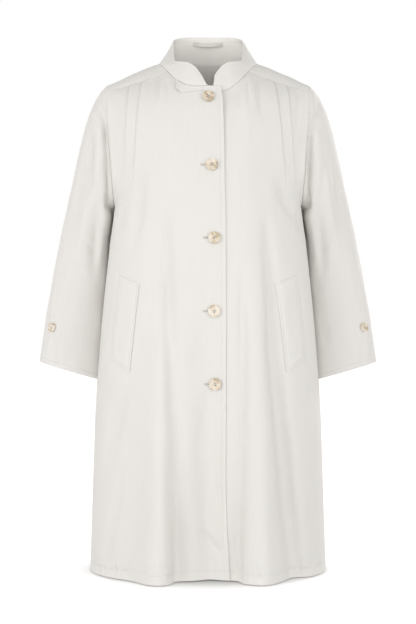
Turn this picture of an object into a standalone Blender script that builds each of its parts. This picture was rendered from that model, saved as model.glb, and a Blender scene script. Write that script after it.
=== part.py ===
"""A long A-line coat with a standing collar and tucked shoulders, in metres with +Z up.

The coat hangs filled out and empty. Its front faces -Y, the wearer's right is at -X, and the origin is
midway between the two points where the shoulders meet the neck. Each cut piece of cloth is a wall lofted
through sections that are worked out from the sizes below, which are in millimetres.
"""

from collections import namedtuple

import bpy
import numpy as np
from mathutils import Matrix, Vector

MM = 0.001
WALL = 2.0  # cloth with its facing and turned edges
SEAM_GAP = 0.3
LIE_GAP = 0.4  # under what is sewn flat on a panel
SEAT_GAP = 0.8  # under a button, the throat tab and the ends of the hanger loop
LAP_GAP = 0.6  # between the two fronts where they lap
LAP_INSET = WALL + LAP_GAP
RIGHT, LEFT = -1, 1
COAT = "long_coat"
TURNED = [0, 3, 2, 1]  # a face's corners the other way round, with the same diagonal
SMALL = 1e-3  # step of a share, for the directions that a surface faces
SEARCH_STEPS = 60

# Main levels and the lap of the fronts
HEM_Z = -1056.0
UNDERARM_V = 0.75  # share of a panel's rows that lie below the underarm
UNDER_LAP_X = 25.0  # how far the left front runs past the centre under the right one
LAP_BLEND = 10.0, 28.0  # past the right front's edge, the left one comes out to the full form
LEFT_NECK_DROP = 12.0  # the left front hangs this much lower at the throat
NECK_DROP_BLEND = 20.0, 80.0  # and rises to its place over this width
NECK_ROLL = 45.0  # the fronts and back bend to the shoulder seams over this height
FLAT_CHEST_Z = -130.0  # from the underarm to here the round body goes over to a flatter chest and back
EDGE_POWER = 16  # how close to its edge a panel keeps the form of the body
UNDERARM_FILL, FILL_FADE = 9.0, 90.0  # the body is this much wider than its seam is at the underarm

# The side seams, from the hem to the underarm
Side = namedtuple("Side", "z half_width y")
SIDE = (
    Side(-1056, 247, 0),
    Side(-900, 242, -4),
    Side(-720, 235, -8),
    Side(-600, 227, -8),
    Side(-496, 218, -6),
    Side(-400, 208, 3),
    Side(-302, 195, 10),
)

# Depths at the centre lines. The powers say how square the front and back curves are.
Level = namedtuple("Level", "z front back front_power back_power")
LEVELS = (
    Level(-1056, 165, 165, 2.15, 1.90),
    Level(-900, 160, 160, 2.15, 1.80),
    Level(-720, 154, 153, 2.15, 1.65),
    Level(-496, 146, 142, 2.15, 1.62),
    Level(-302, 138, 131, 2.20, 1.95),
    Level(-215, 130, 128, 2.35, 2.25),
    Level(-165, 122, 124, 2.40, 2.40),
    Level(-110, 110, 118, 2.40, 2.40),
    Level(-62, 92, 109, 2.40, 2.40),
    Level(14, 62, 80, 2.40, 2.40),
)

# The neck seam, from the centre front over the shoulder to the centre back
Neck = namedtuple("Neck", "x y z")
NECK = (
    Neck(0, -92, -62),
    Neck(22, -90, -62),
    Neck(42, -84, -59),
    Neck(63, -70, -47),
    Neck(84, -41, -23),
    Neck(98, -14, -6),
    Neck(103, 10, 2),
    Neck(97, 36, 6),
    Neck(84, 56, 8),
    Neck(42, 75, 12),
    Neck(0, 80, 14),
)
NECK_FRONT, NECK_BACK = 4, 8  # rows where the yoke's front and back seams start

# The armhole is a squared ellipse that leans out towards the shoulder
ARM_TOP_X, ARM_BOTTOM_X = 213.0, 195.0
ARM_TOP_Z, ARM_BOTTOM_Z = -46.0, -302.0
ARM_Y, ARM_DEPTH, ARM_POWER = 10.0, 70.0, 2.2
YOKE_ANGLE = 27.0  # degrees from the top of the armhole to the yoke's seams
SEAM_SAG_FRONT, SEAM_SAG_BACK = 7.0, -2.0  # how far the yoke's seams dip between their ends
YOKE_CROWN = 5.0

# Guide columns of the fronts, as shares of the half width, and how many columns lead to the next one
Guide = namedtuple("Guide", "at_hem at_underarm at_top columns")
GUIDES = (
    Guide(0.00, 0.00, 0.00, 9),  # centre front
    Guide(0.46, 0.50, 0.3961, 3),  # neck end of the yoke seam
    Guide(0.76, 0.83, 0.645, 2),  # inner tuck
    Guide(0.86, 0.905, 0.785, 4),  # outer tuck
    Guide(1.00, 1.00, 1.00, 0),  # side seam and armhole
)
TUCK_GUIDES = (2, 3)
SIDE_CROWDING = 1.7  # columns lie closer together towards the side seam
LAP_COLUMNS = 3
BACK_COLUMNS = 7  # from the centre back to the neck end of the yoke seam
LOW_ROWS, HIGH_ROWS, YOKE_ROWS = 14, 9, 6
TUCK_HEIGHT, TUCK_SLOPE, TUCK_EDGE = 2.4, 24.0, 0.6
TUCK_END_Z, TUCK_FULL_Z = -290.0, -215.0

# The edge of the right front where it laps over the left
Lap = namedtuple("Lap", "z x")
LAP = (Lap(-1056, 42), Lap(-880, 38), Lap(-540, 36), Lap(-230, 36), Lap(-100, 32), Lap(-60, 27))

# Folds: a ridge, or a valley where the height is below 0. Those that run out at the hem grow towards it,
# and the others are deepest half way along.
FOLD_SPREAD = 0.45  # share of the sideways lean of a round body with which the folds stand out
Fold = namedtuple("Fold", "x_top z_top x_end z_end height width_top width_end to_hem")
FRONT_FOLDS = (
    Fold(-86, -300, -97, -1056, 29, 30, 38, True),  # right flute
    Fold(94, -300, 104, -1056, 27, 30, 36, True),  # left flute
    Fold(2, -380, 4, -1056, -40, 40, 46, True),  # hollow under the buttons
    Fold(108, -200, 172, -1056, -9, 12, 18, True),  # long valley beside the left flute
    Fold(-128, -195, -158, -420, -5, 10, 14, False),
    Fold(-163, -640, -214, -860, -8, 12, 16, False),
    Fold(136, -240, 182, -345, -5, 10, 12, False),
    Fold(-101, -15, -112, -110, -2.2, 4, 6, False),  # gathers under the collar
    Fold(-84, -25, -86, -105, -2.2, 4, 6, False),
    Fold(-58, -48, -58, -110, -1.6, 4, 6, False),
    Fold(101, -15, 116, -140, -2.2, 4, 7, False),
    Fold(80, -25, 86, -120, -2.2, 4, 6, False),
    Fold(57, -55, 60, -115, -1.8, 4, 6, False),
)
BACK_FOLDS = (
    Fold(-105, -330, -128, -1056, 20, 34, 44, True),
    Fold(4, -300, 2, -1056, 14, 30, 40, True),
    Fold(110, -330, 126, -1056, 21, 34, 44, True),
    Fold(-52, -420, -62, -1056, -12, 20, 30, True),
    Fold(56, -420, 64, -1056, -12, 20, 30, True),
)

# Sleeve rings from the armhole to the cuff: outer and inner end of the ring, its depth, and the angle
# from the outer end round to the seam down the outer arm
Ring = namedtuple("Ring", "s out_x out_z in_x in_z y depth seam")
SLEEVE = (
    Ring(0.00, 213, -46, 195, -302, 10, 70, 0),
    Ring(0.06, 231, -66, 199, -322, 13, 71, 2),
    Ring(0.14, 250, -104, 204, -350, 20, 70, 6),
    Ring(0.24, 268, -163, 209, -385, 31, 67, 12),
    Ring(0.38, 290, -253, 211, -435, 42, 61, 22),
    Ring(0.56, 316, -369, 211, -505, 50, 56, 33),
    Ring(0.78, 342, -503, 212, -590, 52, 51, 42),
    Ring(1.00, 360, -626, 214, -668, 50, 48, 44),
)
SLEEVE_RINGS, RING_CROWDING = 14, 1.25  # rings lie closer together towards the shoulder
SLEEVE_FOLD_SPREAD = 0.35
SleeveFold = namedtuple("SleeveFold", "turn_top turn_end s_top s_end height width")
SLEEVE_FOLDS = (
    SleeveFold(58, 52, 0.02, 0.55, -8, 12),
    SleeveFold(82, 80, 0.05, 0.62, 6, 13),
    SleeveFold(112, 108, 0.10, 0.60, -7, 12),
    SleeveFold(-60, -55, 0.04, 0.60, -7, 13),
    SleeveFold(-95, -90, 0.05, 0.62, 5, 14),
)

# The collar's upper edge: share of the way from the throat to the centre back, and where the edge is
Top = namedtuple("Top", "along x y z")
COLLAR_TOP = (
    Top(0.00, 1, -91, -57),
    Top(0.05, 9, -87, -46),
    Top(0.10, 17, -83, -33),
    Top(0.16, 28, -77, -19),
    Top(0.23, 42, -70, -10),
    Top(0.32, 59, -58, -6),
    Top(0.40, 68, -44, -2),
    Top(0.475, 71, -22, 13),
    Top(0.557, 72.5, 2, 33),
    Top(0.65, 73.5, 28, 54),
    Top(0.741, 63, 49, 64),
    Top(0.866, 36, 62, 69),
    Top(1.00, 0, 66, 70),
)
COLLAR_ROWS, COLLAR_CROWN, COLLAR_LIFT = 4, 2.0, 0.35
LEFT_COLLAR_START = 1  # the left end of the collar starts this many columns past the centre
COLLAR_BLEND = 20.0, 50.0  # and lies inside the lap as far as this

# Pieces sewn on
WELT_CORNERS = ((137, -466), (179.5, -447), (157, -641), (199, -615))  # upper pair, inner first, then lower
WELT_COLUMNS, WELT_ROWS, WELT_WALL = 4, 6, 1.8
TAB_X_INNER, TAB_X_OUTER, TAB_BOTTOM_Z, TAB_CORNER = 10.0, 65.0, -77.0, 8.0
TAB_SEAM_SPACE, TAB_WALL, TAB_COLUMNS, TAB_ROWS = 3.0, 1.5, 7, 3
LOOP_HALF_LENGTH, LOOP_HEIGHT, LOOP_LEVEL, LOOP_BOW, LOOP_WALL = 32.0, 9.0, 0.74, 7.5, 1.2
LOOP_COLUMNS, LOOP_BLEND = 10, (0.25, 0.9)  # shares of its half over which it comes back to the collar
Button = namedtuple("Button", "x z")
BUTTONS = (Button(0.6, -86), Button(7.4, -227), Button(12.5, -373), Button(12.5, -519), Button(15, -664.5))
BUTTON_RADIUS, CUFF_BUTTON_RADIUS, BUTTON_SIDES, SEAT_POINTS = 11.8, 9.2, 20, 12
BUTTON_PROFILE = ((0, 2.4), (0.55, 2.5), (0.72, 3.4), (0.9, 3.4), (1, 2.6), (1, 1.0), (0.9, 0), (0, 0))
CUFF_BUTTON_S, CUFF_BUTTON_TURN = 0.85, 47.0

CLOTH_COLOUR, BUTTON_COLOUR = (0.84, 0.81, 0.76, 1), (0.62, 0.50, 0.34, 1)
CLOTH_ROUGHNESS, BUTTON_ROUGHNESS = 0.85, 0.3


def smooth(at, knots, values):
    """A curve through the knots that never overshoots them, read at each number of an array."""
    knots, values = np.asarray(knots, float), np.asarray(values, float)
    at = np.clip(at, knots[0], knots[-1])
    step = np.diff(knots)
    rise = np.diff(values) / step
    both = rise[:-1] * rise[1:]
    inner = np.where(both > 0, 2 * both / np.where(both > 0, rise[:-1] + rise[1:], 1), 0)
    slope = np.concatenate([rise[:1], inner, rise[-1:]])
    i = np.clip(np.searchsorted(knots, at, side="right") - 1, 0, len(step) - 1)
    t = (at - knots[i]) / step[i]
    ends = values[i] * (1 + 2 * t) * (1 - t) ** 2 + values[i + 1] * t * t * (3 - 2 * t)
    return ends + step[i] * (slope[i] * t * (1 - t) ** 2 + slope[i + 1] * t * t * (t - 1))


def read(table, key, name, at):
    """One named column of a table, as a smooth curve of another of its columns."""
    order = sorted(table, key=lambda row: getattr(row, key))
    return smooth(at, [getattr(row, key) for row in order], [getattr(row, name) for row in order])


def ease(low, high, at):
    """0 below low and 1 above high, with a smooth rise between."""
    t = np.clip((at - low) / (high - low), 0, 1)
    return t * t * (3 - 2 * t)


def unit(vectors):
    return vectors / np.maximum(np.linalg.norm(vectors, axis=-1, keepdims=True), 1e-9)


def signed_power(values, power):
    return np.sign(values) * np.abs(values) ** power


def armhole(angle):
    """x, y and z on the armhole: 0 at the shoulder, 180 under the arm, and below 0 behind."""
    turn = np.radians(angle)
    rise = signed_power(np.cos(turn), 2 / ARM_POWER)
    x = (ARM_TOP_X + ARM_BOTTOM_X) / 2 + (ARM_TOP_X - ARM_BOTTOM_X) / 2 * rise
    y = ARM_Y - ARM_DEPTH * signed_power(np.sin(turn), 2 / ARM_POWER)
    z = (ARM_TOP_Z + ARM_BOTTOM_Z) / 2 + (ARM_TOP_Z - ARM_BOTTOM_Z) / 2 * rise
    return x, y, z


def neck_seam(along, first, last):
    """Points of the neck seam from one row of its table to another."""
    at = first + np.asarray(along) * (last - first)
    rows = np.arange(len(NECK))
    return np.stack([smooth(at, rows, [getattr(row, axis) for row in NECK]) for axis in "xyz"], -1)


def panel_edge(v, front):
    """x, y and z down the outer edge of a front or of half the back: its side seam, then its armhole."""
    low_z = HEM_Z + np.minimum(v / UNDERARM_V, 1) * (ARM_BOTTOM_Z - HEM_Z)
    high = np.maximum(v - UNDERARM_V, 0) / (1 - UNDERARM_V)
    angle = 180 - high * (180 - YOKE_ANGLE)
    arm_x, arm_y, arm_z = armhole(angle if front else -angle)
    low = v <= UNDERARM_V
    x = np.where(low, read(SIDE, "z", "half_width", low_z), arm_x)
    y = np.where(low, read(SIDE, "z", "y", low_z), arm_y)
    return x, y, np.where(low, low_z, arm_z)


def yoke_seam(along, front):
    """Points of the yoke's front or back seam, from the neck to the armhole."""
    along = np.asarray(along)[..., None]
    start = np.array(NECK[NECK_FRONT if front else NECK_BACK], float)
    end = np.stack(armhole(YOKE_ANGLE if front else -YOKE_ANGLE))
    sag = SEAM_SAG_FRONT if front else SEAM_SAG_BACK
    return start + along * (end - start) - np.array([0, 0, sag]) * 4 * along * (1 - along)


def panel_top(side, xi, front):
    """y and z along the upper edge of a front or of half the back: its neck, then its yoke seam."""
    end_x = armhole(YOKE_ANGLE)[0]
    x = np.abs(xi) * end_x
    rows = NECK[: NECK_FRONT + 1] if front else NECK[NECK_BACK:]
    corner = max(row.x for row in rows)
    seam = yoke_seam(np.clip((x - corner) / (end_x - corner), 0, 1), front)
    y = np.where(x > corner, seam[..., 1], read(rows, "x", "y", x))
    z = np.where(x > corner, seam[..., 2], read(rows, "x", "z", x))
    if front and side == LEFT:
        z = z - LEFT_NECK_DROP * (1 - ease(*NECK_DROP_BLEND, x))
    return y, z


def folded(points, folds):
    """The points with each fold's ridge or valley added, square to the body."""
    x, y, z = points[..., 0], points[..., 1], points[..., 2]
    height = np.zeros_like(x)
    for fold in folds:
        t = (fold.z_top - z) / (fold.z_top - fold.z_end)
        run = np.clip(t, 0, 1)
        size = ease(0, 1, run) if fold.to_hem else np.sin(np.pi * run) ** 2
        line = fold.x_top + run * (fold.x_end - fold.x_top)
        width = fold.width_top + run * (fold.width_end - fold.width_top)
        height += fold.height * size * np.exp(-(((x - line) / width) ** 2))
    out = unit(np.stack([FOLD_SPREAD * x, y, np.zeros_like(x)], -1))
    return points + out * height[..., None]


def panel(side, xi, v, front):
    """Outer points of a front or of half the back.

    xi runs from 0 at the centre line to 1 at the side seam or armhole, and below 0 across the lap.
    v runs from 0 at the hem to 1 at the neck and the yoke seam.
    """
    name, facing = ("front", -1) if front else ("back", 1)
    edge_x, edge_y, edge_z = panel_edge(v, front)
    _, last_y, last_z = panel_edge(np.array(1.0), front)
    rise = (edge_z - HEM_Z) / (last_z - HEM_Z)
    top_y, top_z = panel_top(side, xi, front)
    _, centre_top_z = panel_top(RIGHT, np.array(0.0), front)
    side_y = np.where(v > UNDERARM_V, ARM_Y, edge_y)
    share = np.abs(xi)

    def curve(edge, height, centre_height, flat):
        """The round body, brought to the armhole along its edge, going over to a flatter chest."""
        depth = facing * read(LEVELS, "z", name, centre_height)
        power = read(LEVELS, "z", name + "_power", height)
        body = side_y + (depth - side_y) * np.maximum(1 - share**power, 0) ** (1 / power)
        body = body + (edge - side_y) * share**EDGE_POWER
        chest = edge + (depth - edge) * (1 - share**power)
        return body + (chest - body) * flat

    z = HEM_Z + rise * (top_z - HEM_Z)
    roll = (top_y - curve(last_y, last_z, centre_top_z, 1)) * np.exp((z - top_z) / NECK_ROLL)
    flat = ease(ARM_BOTTOM_Z, FLAT_CHEST_Z, edge_z)
    y = curve(edge_y, edge_z, HEM_Z + rise * (centre_top_z - HEM_Z), flat) + roll
    fill = UNDERARM_FILL * np.exp(-np.abs(edge_z - ARM_BOTTOM_Z) / FILL_FADE)
    x = side * np.sign(xi) * (share * edge_x + fill * (share - share**EDGE_POWER))
    points = np.stack(np.broadcast_arrays(x, y, z), -1)
    return folded(points, FRONT_FOLDS if front else BACK_FOLDS)


def front_cloth(side, xi, v):
    """Outer points of a front, the left one set in where the right one laps over it."""
    points = panel(side, xi, v, True)
    if side == LEFT:
        past_edge = points[..., 0] - read(LAP, "z", "x", points[..., 2])
        points[..., 1] += LAP_INSET * (1 - ease(*LAP_BLEND, past_edge))
    return points


def back_cloth(side, xi, v):
    return panel(side, xi, v, False)


def facing_out(surface, side, u, v, flip=1):
    """Unit normals of a surface that is a function of side, u and v."""
    across = surface(side, np.minimum(u + SMALL, 1), v) - surface(side, u - SMALL, v)
    up = surface(side, u, np.minimum(v + SMALL, 1)) - surface(side, u, np.maximum(v - SMALL, 0))
    return unit(np.cross(across, up)) * side * flip


def yoke_cloth(side, along, over):
    """Outer points of a yoke: along runs from the neck to the armhole, over from front to back."""
    c, r = np.broadcast_arrays(np.clip(along, 0, 1), np.clip(over, 0, 1))
    neck = neck_seam(r, NECK_FRONT, NECK_BACK)
    arm = np.stack(armhole(YOKE_ANGLE * (1 - 2 * r)), -1)
    front, back = yoke_seam(c, True), yoke_seam(c, False)
    corners = [yoke_seam(np.array(end), seam) for end in (0.0, 1.0) for seam in (True, False)]
    c, r = c[..., None], r[..., None]
    flat = (1 - c) * ((1 - r) * corners[0] + r * corners[1]) + c * ((1 - r) * corners[2] + r * corners[3])
    points = (1 - c) * neck + c * arm + (1 - r) * front + r * back - flat
    points = points + np.array([0, 0, YOKE_CROWN]) * 16 * c * (1 - c) * r * (1 - r)
    return points * np.array([side, 1, 1])


def sleeve_cloth(side, turn, s):
    """Outer points of a sleeve: turn in degrees from its outer line, towards the front, and s along it."""
    ring = {name: read(SLEEVE, "s", name, s) for name in Ring._fields}
    angle = np.radians(turn)
    rise = signed_power(np.cos(angle), 2 / ARM_POWER)
    deep = signed_power(np.sin(angle), 2 / ARM_POWER)
    x = (ring["out_x"] + ring["in_x"]) / 2 + (ring["out_x"] - ring["in_x"]) / 2 * rise
    y = ring["y"] - ring["depth"] * deep
    z = (ring["out_z"] + ring["in_z"]) / 2 + (ring["out_z"] - ring["in_z"]) / 2 * rise
    height = np.zeros_like(x)
    for fold in SLEEVE_FOLDS:
        t = np.clip((s - fold.s_top) / (fold.s_end - fold.s_top), 0, 1)
        line = fold.turn_top + t * (fold.turn_end - fold.turn_top)
        height += fold.height * np.sin(np.pi * t) ** 2 * np.exp(-(((turn - line) / fold.width) ** 2))
    x, y = x + height * SLEEVE_FOLD_SPREAD * rise, y - height * deep
    return np.stack([side * x, y, z], -1)


def sleeve_facing(side, turn, s):
    turn_step = 180 * SMALL
    across = sleeve_cloth(side, turn + turn_step, s) - sleeve_cloth(side, turn - turn_step, s)
    after, before = np.minimum(s + SMALL, 1), np.maximum(s - SMALL, 0)
    along = sleeve_cloth(side, turn, after) - sleeve_cloth(side, turn, before)
    return unit(np.cross(across, along)) * side


def collar_top(along):
    return np.stack([read(COLLAR_TOP, "along", axis, along) for axis in "xyz"], -1)


def column_plan():
    """Shares of the half width at hem, underarm and top, and a shift in mm, for each column of a front.

    A tuck has two columns, one on either side of its edge, so that the edge stands up as a step.
    """
    plan = []
    for i, (guide, after) in enumerate(zip(GUIDES, GUIDES[1:])):
        for k in range(guide.columns):
            share = k / guide.columns
            if after is GUIDES[-1]:
                share = 1 - (1 - share) ** SIDE_CROWDING
            place = [start + share * (end - start) for start, end in zip(guide[:3], after[:3])]
            shifts = (-TUCK_EDGE, TUCK_EDGE) if k == 0 and i in TUCK_GUIDES else (0,)
            plan += [place + [shift] for shift in shifts]
    return np.array(plan + [[1, 1, 1, 0]])


def shares(plan, v):
    """The columns of a plan as shares of the half width at each row."""
    edge_x = panel_edge(v, True)[0]
    return np.stack([smooth(v, (0, UNDERARM_V, 1), row[:3]) + row[3] / edge_x for row in plan])


def panel_rows():
    low = np.linspace(0, UNDERARM_V, LOW_ROWS + 1)
    return np.concatenate([low, np.linspace(UNDERARM_V, 1, HIGH_ROWS + 1)[1:]])


def tuck_heights(insides, z):
    """How far the cloth stands up, by how far each point lies inside each tuck: full at its edge."""
    height = sum(np.where(inside > 0, np.maximum(1 - inside / TUCK_SLOPE, 0), 0) for inside in insides)
    return TUCK_HEIGHT * height * ease(TUCK_END_Z, TUCK_FULL_Z, z)


class Half:
    """The cloth of one side as grids of outer points and their normals, before the seams are parted."""

    def __init__(self, side):
        self.side = side
        plan = column_plan()
        corner = GUIDES[0].columns
        self.make_front(plan)
        self.make_back(plan, corner)
        self.make_yoke(plan, corner)
        self.make_sleeve()
        self.share_normals()

    def make_front(self, plan):
        v = panel_rows()
        edge_x, _, edge_z = panel_edge(v, True)
        reach = read(LAP, "z", "x", edge_z) if self.side == RIGHT else np.full_like(v, UNDER_LAP_X)
        lap = np.stack([-reach / edge_x * (1 - k / LAP_COLUMNS) for k in range(LAP_COLUMNS)])
        xi = np.concatenate([lap, shares(plan, v)])
        self.front = front_cloth(self.side, xi, v)
        self.front_out = facing_out(front_cloth, self.side, xi, v)
        inside = [(smooth(v, (0, UNDERARM_V, 1), GUIDES[i][:3]) - xi) * edge_x for i in TUCK_GUIDES]
        self.tucks = tuck_heights(inside, self.front[..., 2])

    def make_back(self, plan, corner):
        v = panel_rows()
        steps = np.linspace(0, 1, BACK_COLUMNS, endpoint=False)[:, None]
        xi = shares(np.concatenate([steps * plan[corner], plan[corner:]]), v)
        self.back = back_cloth(self.side, xi, v)
        self.back_out = facing_out(back_cloth, self.side, xi, v, -1)

    def make_yoke(self, plan, corner):
        end_x = armhole(YOKE_ANGLE)[0]
        start_x = NECK[NECK_FRONT].x
        along = ((plan[corner:, 2] * end_x + plan[corner:, 3] - start_x) / (end_x - start_x))[:, None]
        over = np.linspace(0, 1, YOKE_ROWS + 1)[None]
        self.yoke = yoke_cloth(self.side, along, over)
        self.yoke_out = facing_out(yoke_cloth, self.side, along, over)
        self.yoke[:, 0] = self.front[LAP_COLUMNS + corner :, -1]
        self.yoke[:, -1] = self.back[BACK_COLUMNS:, -1]

    def make_sleeve(self):
        on_yoke = np.linspace(0, YOKE_ANGLE, YOKE_ROWS // 2 + 1)
        below = np.linspace(YOKE_ANGLE, 180, HIGH_ROWS + 1)[1:]
        round_arm = np.concatenate([on_yoke, below])[:, None] / 180
        s = np.linspace(0, 1, SLEEVE_RINGS + 1) ** RING_CROWDING
        seam = read(SLEEVE, "s", "seam", s)
        self.sleeves, self.sleeves_out = [], []
        for half_turn in (180, -180):
            turn = seam + (half_turn - seam) * round_arm
            self.sleeves.append(sleeve_cloth(self.side, turn, s) + np.array([self.side * LIE_GAP, 0, 0]))
            self.sleeves_out.append(sleeve_facing(self.side, turn, s))

    def share_normals(self):
        """Gives pieces that meet at a seam one direction there, so that their edges stay parallel."""
        top = self.front_out[-len(self.yoke) :, -1]
        top[:] = self.yoke_out[:, 0] = unit(top + self.yoke_out[:, 0])
        top = self.back_out[-len(self.yoke) :, -1]
        top[:] = self.yoke_out[:, -1] = unit(top + self.yoke_out[:, -1])
        middle = YOKE_ROWS // 2
        front_side, back_side = self.front_out[-1], self.back_out[-1]
        front_side[: LOW_ROWS + 1] = back_side[: LOW_ROWS + 1] = (self.side, 0, 0)
        yoke_end = self.yoke_out[-1]
        front_chain = [*yoke_end[middle:0:-1], *front_side[: LOW_ROWS - 1 : -1]]
        back_chain = [*yoke_end[middle:-1], *back_side[: LOW_ROWS - 1 : -1]]
        for chain, sleeve_out in zip((front_chain, back_chain), self.sleeves_out):
            for own, sleeve in zip(chain, sleeve_out[:, 0]):
                if sleeve[0] * self.side > own[0] * self.side:
                    own[:] = sleeve[:] = unit(own + sleeve)
        self.yoke_out[-1, 0] = front_side[-1]
        self.yoke_out[-1, -1] = back_side[-1]


def wall(name, outer, inner, material):
    """A closed wall between two grids of points: both faces and the rim round them."""
    n, m = outer.shape[:2]
    index = np.arange(n * m).reshape(n, m)
    quads = np.stack([index[:-1, :-1], index[1:, :-1], index[1:, 1:], index[:-1, 1:]], -1).reshape(-1, 4)
    rim = np.concatenate([index[:, 0], index[-1, 1:], index[-2::-1, -1], index[0, -2:0:-1]])
    after = np.roll(rim, -1)
    sides = np.stack([after, rim, rim + n * m, after + n * m], -1)
    faces = np.concatenate([quads, quads[:, TURNED] + n * m, sides])
    points = np.concatenate([outer.reshape(-1, 3), inner.reshape(-1, 3)])
    corners = points[faces]
    volume = np.einsum("ij,ij->", corners[:, 0], np.cross(corners[:, 1], corners[:, 2]))
    volume += np.einsum("ij,ij->", corners[:, 0], np.cross(corners[:, 2], corners[:, 3]))
    if volume < 0:
        faces = faces[:, TURNED]
    mesh = bpy.data.meshes.new(name)
    mesh.from_pydata((points * MM).tolist(), [], faces.tolist())
    mesh.shade_smooth()
    return placed(name, mesh, material)


def placed(name, mesh, material):
    obj = bpy.data.objects.new(name, mesh)
    mesh.materials.append(material)
    bpy.data.collections[COAT].objects.link(obj)
    return obj


def make_panels(half, label, material):
    """A front, a yoke and two sleeve pieces of one side, parted at their seams."""
    front, yoke = half.front.copy(), half.yoke.copy()
    first = len(front) - len(yoke)
    front[first:, -1] += unit(front[first:, -2] - front[first:, -1]) * SEAM_GAP / 2
    under = LOW_ROWS + 1
    front[-1, :under] += unit(front[-2, :under] - front[-1, :under]) * SEAM_GAP / 2
    outer = front + half.front_out * half.tucks[..., None]
    wall("front_" + label, outer, front - half.front_out * WALL, material)
    for edge, inner in ((0, 1), (-1, -2)):
        yoke[:, edge] += unit(yoke[:, inner] - yoke[:, edge]) * SEAM_GAP / 2
    wall("shoulder_yoke_" + label, yoke, yoke - half.yoke_out * WALL, material)
    for name, points, out in zip(("sleeve_front_", "sleeve_back_"), half.sleeves, half.sleeves_out):
        piece = points.copy()
        for edge, inner in ((0, 1), (-1, -2)):
            piece[edge] += unit(piece[inner] - piece[edge]) * SEAM_GAP / 2
        wall(name + label, piece, piece - out * WALL, material)


def make_back(right, left, material):
    pieces = []
    for half in (right, left):
        back = half.back.copy()
        first, under = len(back) - len(half.yoke), LOW_ROWS + 1
        back[first:, -1] += unit(back[first:, -2] - back[first:, -1]) * SEAM_GAP / 2
        back[-1, :under] += unit(back[-2, :under] - back[-1, :under]) * SEAM_GAP / 2
        pieces.append((back, half.back_out))
    points = np.concatenate([pieces[0][0][::-1], pieces[1][0][1:]])
    out = np.concatenate([pieces[0][1][::-1], pieces[1][1][1:]])
    wall("back", points, points - out * WALL, material)


def neck_edge(half, first_column):
    """The neck edge of one side's front, yoke and back, from the throat to the centre back."""
    corner = len(half.front) - len(half.yoke)
    front = half.front[LAP_COLUMNS + first_column : corner, -1]
    return np.concatenate([front, half.yoke[0], half.back[BACK_COLUMNS - 1 :: -1, -1]])


def collar_half(half, first_column):
    """Rows of the collar from its lower to its upper edge, on one side."""
    low = neck_edge(half, first_column)
    whole = neck_edge(half, 0)
    length = np.concatenate([[0], np.cumsum(np.linalg.norm(np.diff(whole, axis=0), axis=1))])
    along = (length / length[-1])[first_column:]
    top = collar_top(along) * np.array([half.side, 1, 1])
    if half.side == LEFT:
        top[:, 1] += LAP_INSET * (1 - ease(*COLLAR_BLEND, top[:, 0]))
    rise = np.linspace(0, 1, COLLAR_ROWS + 1)[None, :, None]
    low = low + unit(top - low) * COLLAR_LIFT
    out = unit((low + top) * np.array([0.5, 0.5, 0]))[:, None]
    return low[:, None] * (1 - rise) + top[:, None] * rise + out * COLLAR_CROWN * 4 * rise * (1 - rise)


def make_collar(right, left, material):
    """The collar's wall. Returns its inner points and the directions that they face."""
    points = np.concatenate([collar_half(right, 0), collar_half(left, LEFT_COLLAR_START)[-2::-1]])
    out = unit(np.cross(np.gradient(points, axis=1), np.gradient(points, axis=0)))
    inner = points - out * WALL
    wall("collar", points, inner, material)
    return inner, -out


def make_hanger_loop(inner, facing, material):
    """A strip sewn down at its ends inside the back of the collar, bowed off it and upright between."""
    level = LOOP_LEVEL * COLLAR_ROWS
    row, part = int(level), level - int(level)
    behind = inner[:, row, 1] > ARM_Y
    x = np.linspace(-LOOP_HALF_LENGTH, LOOP_HALF_LENGTH, LOOP_COLUMNS + 1)

    def at(grid, axis, shift):
        values = grid[:, row] * (1 - part - shift) + grid[:, row + 1] * (part + shift)
        return np.interp(x, inner[behind, row, 0], values[behind, axis])

    sewn = ease(*LOOP_BLEND, np.abs(x) / LOOP_HALF_LENGTH)[:, None]
    middle = np.stack([x, at(inner, 1, 0), at(inner, 2, 0)], -1)
    off = unit(np.stack([at(facing, axis, 0) for axis in range(3)], -1))
    lean = unit(np.stack([at(inner, axis, 0.1) - at(inner, axis, 0) for axis in range(3)], -1) * [0, 1, 1])
    up = unit(lean * sewn + np.array([0, 0, 1]) * (1 - sewn))
    near = middle + off * (SEAT_GAP + LOOP_BOW * (1 - sewn))
    edges = np.stack([near - up * LOOP_HEIGHT / 2, near + up * LOOP_HEIGHT / 2], 1)
    wall("hanger_loop", edges + off[:, None] * LOOP_WALL, edges, material)


def find_on_front(side, x, z):
    """The share across and the share up of the points of a front that lie at x and z."""
    xi, v = np.broadcast_arrays(np.abs(x) / SIDE[0].half_width, (z - HEM_Z) / -HEM_Z)
    for _ in range(SEARCH_STEPS):
        at = front_cloth(side, xi, v)
        xi = xi + side * (x - at[..., 0]) / SIDE[0].half_width
        v = np.clip(v + (z - at[..., 2]) / -HEM_Z, 0, 1)
    return xi, v


def sewn_on(name, side, x, z, gap, thickness, material):
    """A piece that lies on a front: the front's own points under it, moved out."""
    xi, v = find_on_front(side, x, z)
    points, out = front_cloth(side, xi, v), facing_out(front_cloth, side, xi, v)
    wall(name, points + out * (gap + thickness), points + out * gap, material)


def make_welt(side, label, material):
    across = np.linspace(0, 1, WELT_COLUMNS + 1)[:, None, None]
    down = np.linspace(0, 1, WELT_ROWS + 1)[None, :, None]
    corners = np.array(WELT_CORNERS, float)
    upper = corners[0] * (1 - across) + corners[1] * across
    lower = corners[2] * (1 - across) + corners[3] * across
    at = upper * (1 - down) + lower * down
    sewn_on("pocket_welt_" + label, side, side * at[..., 0], at[..., 1], LIE_GAP, WELT_WALL, material)


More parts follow.
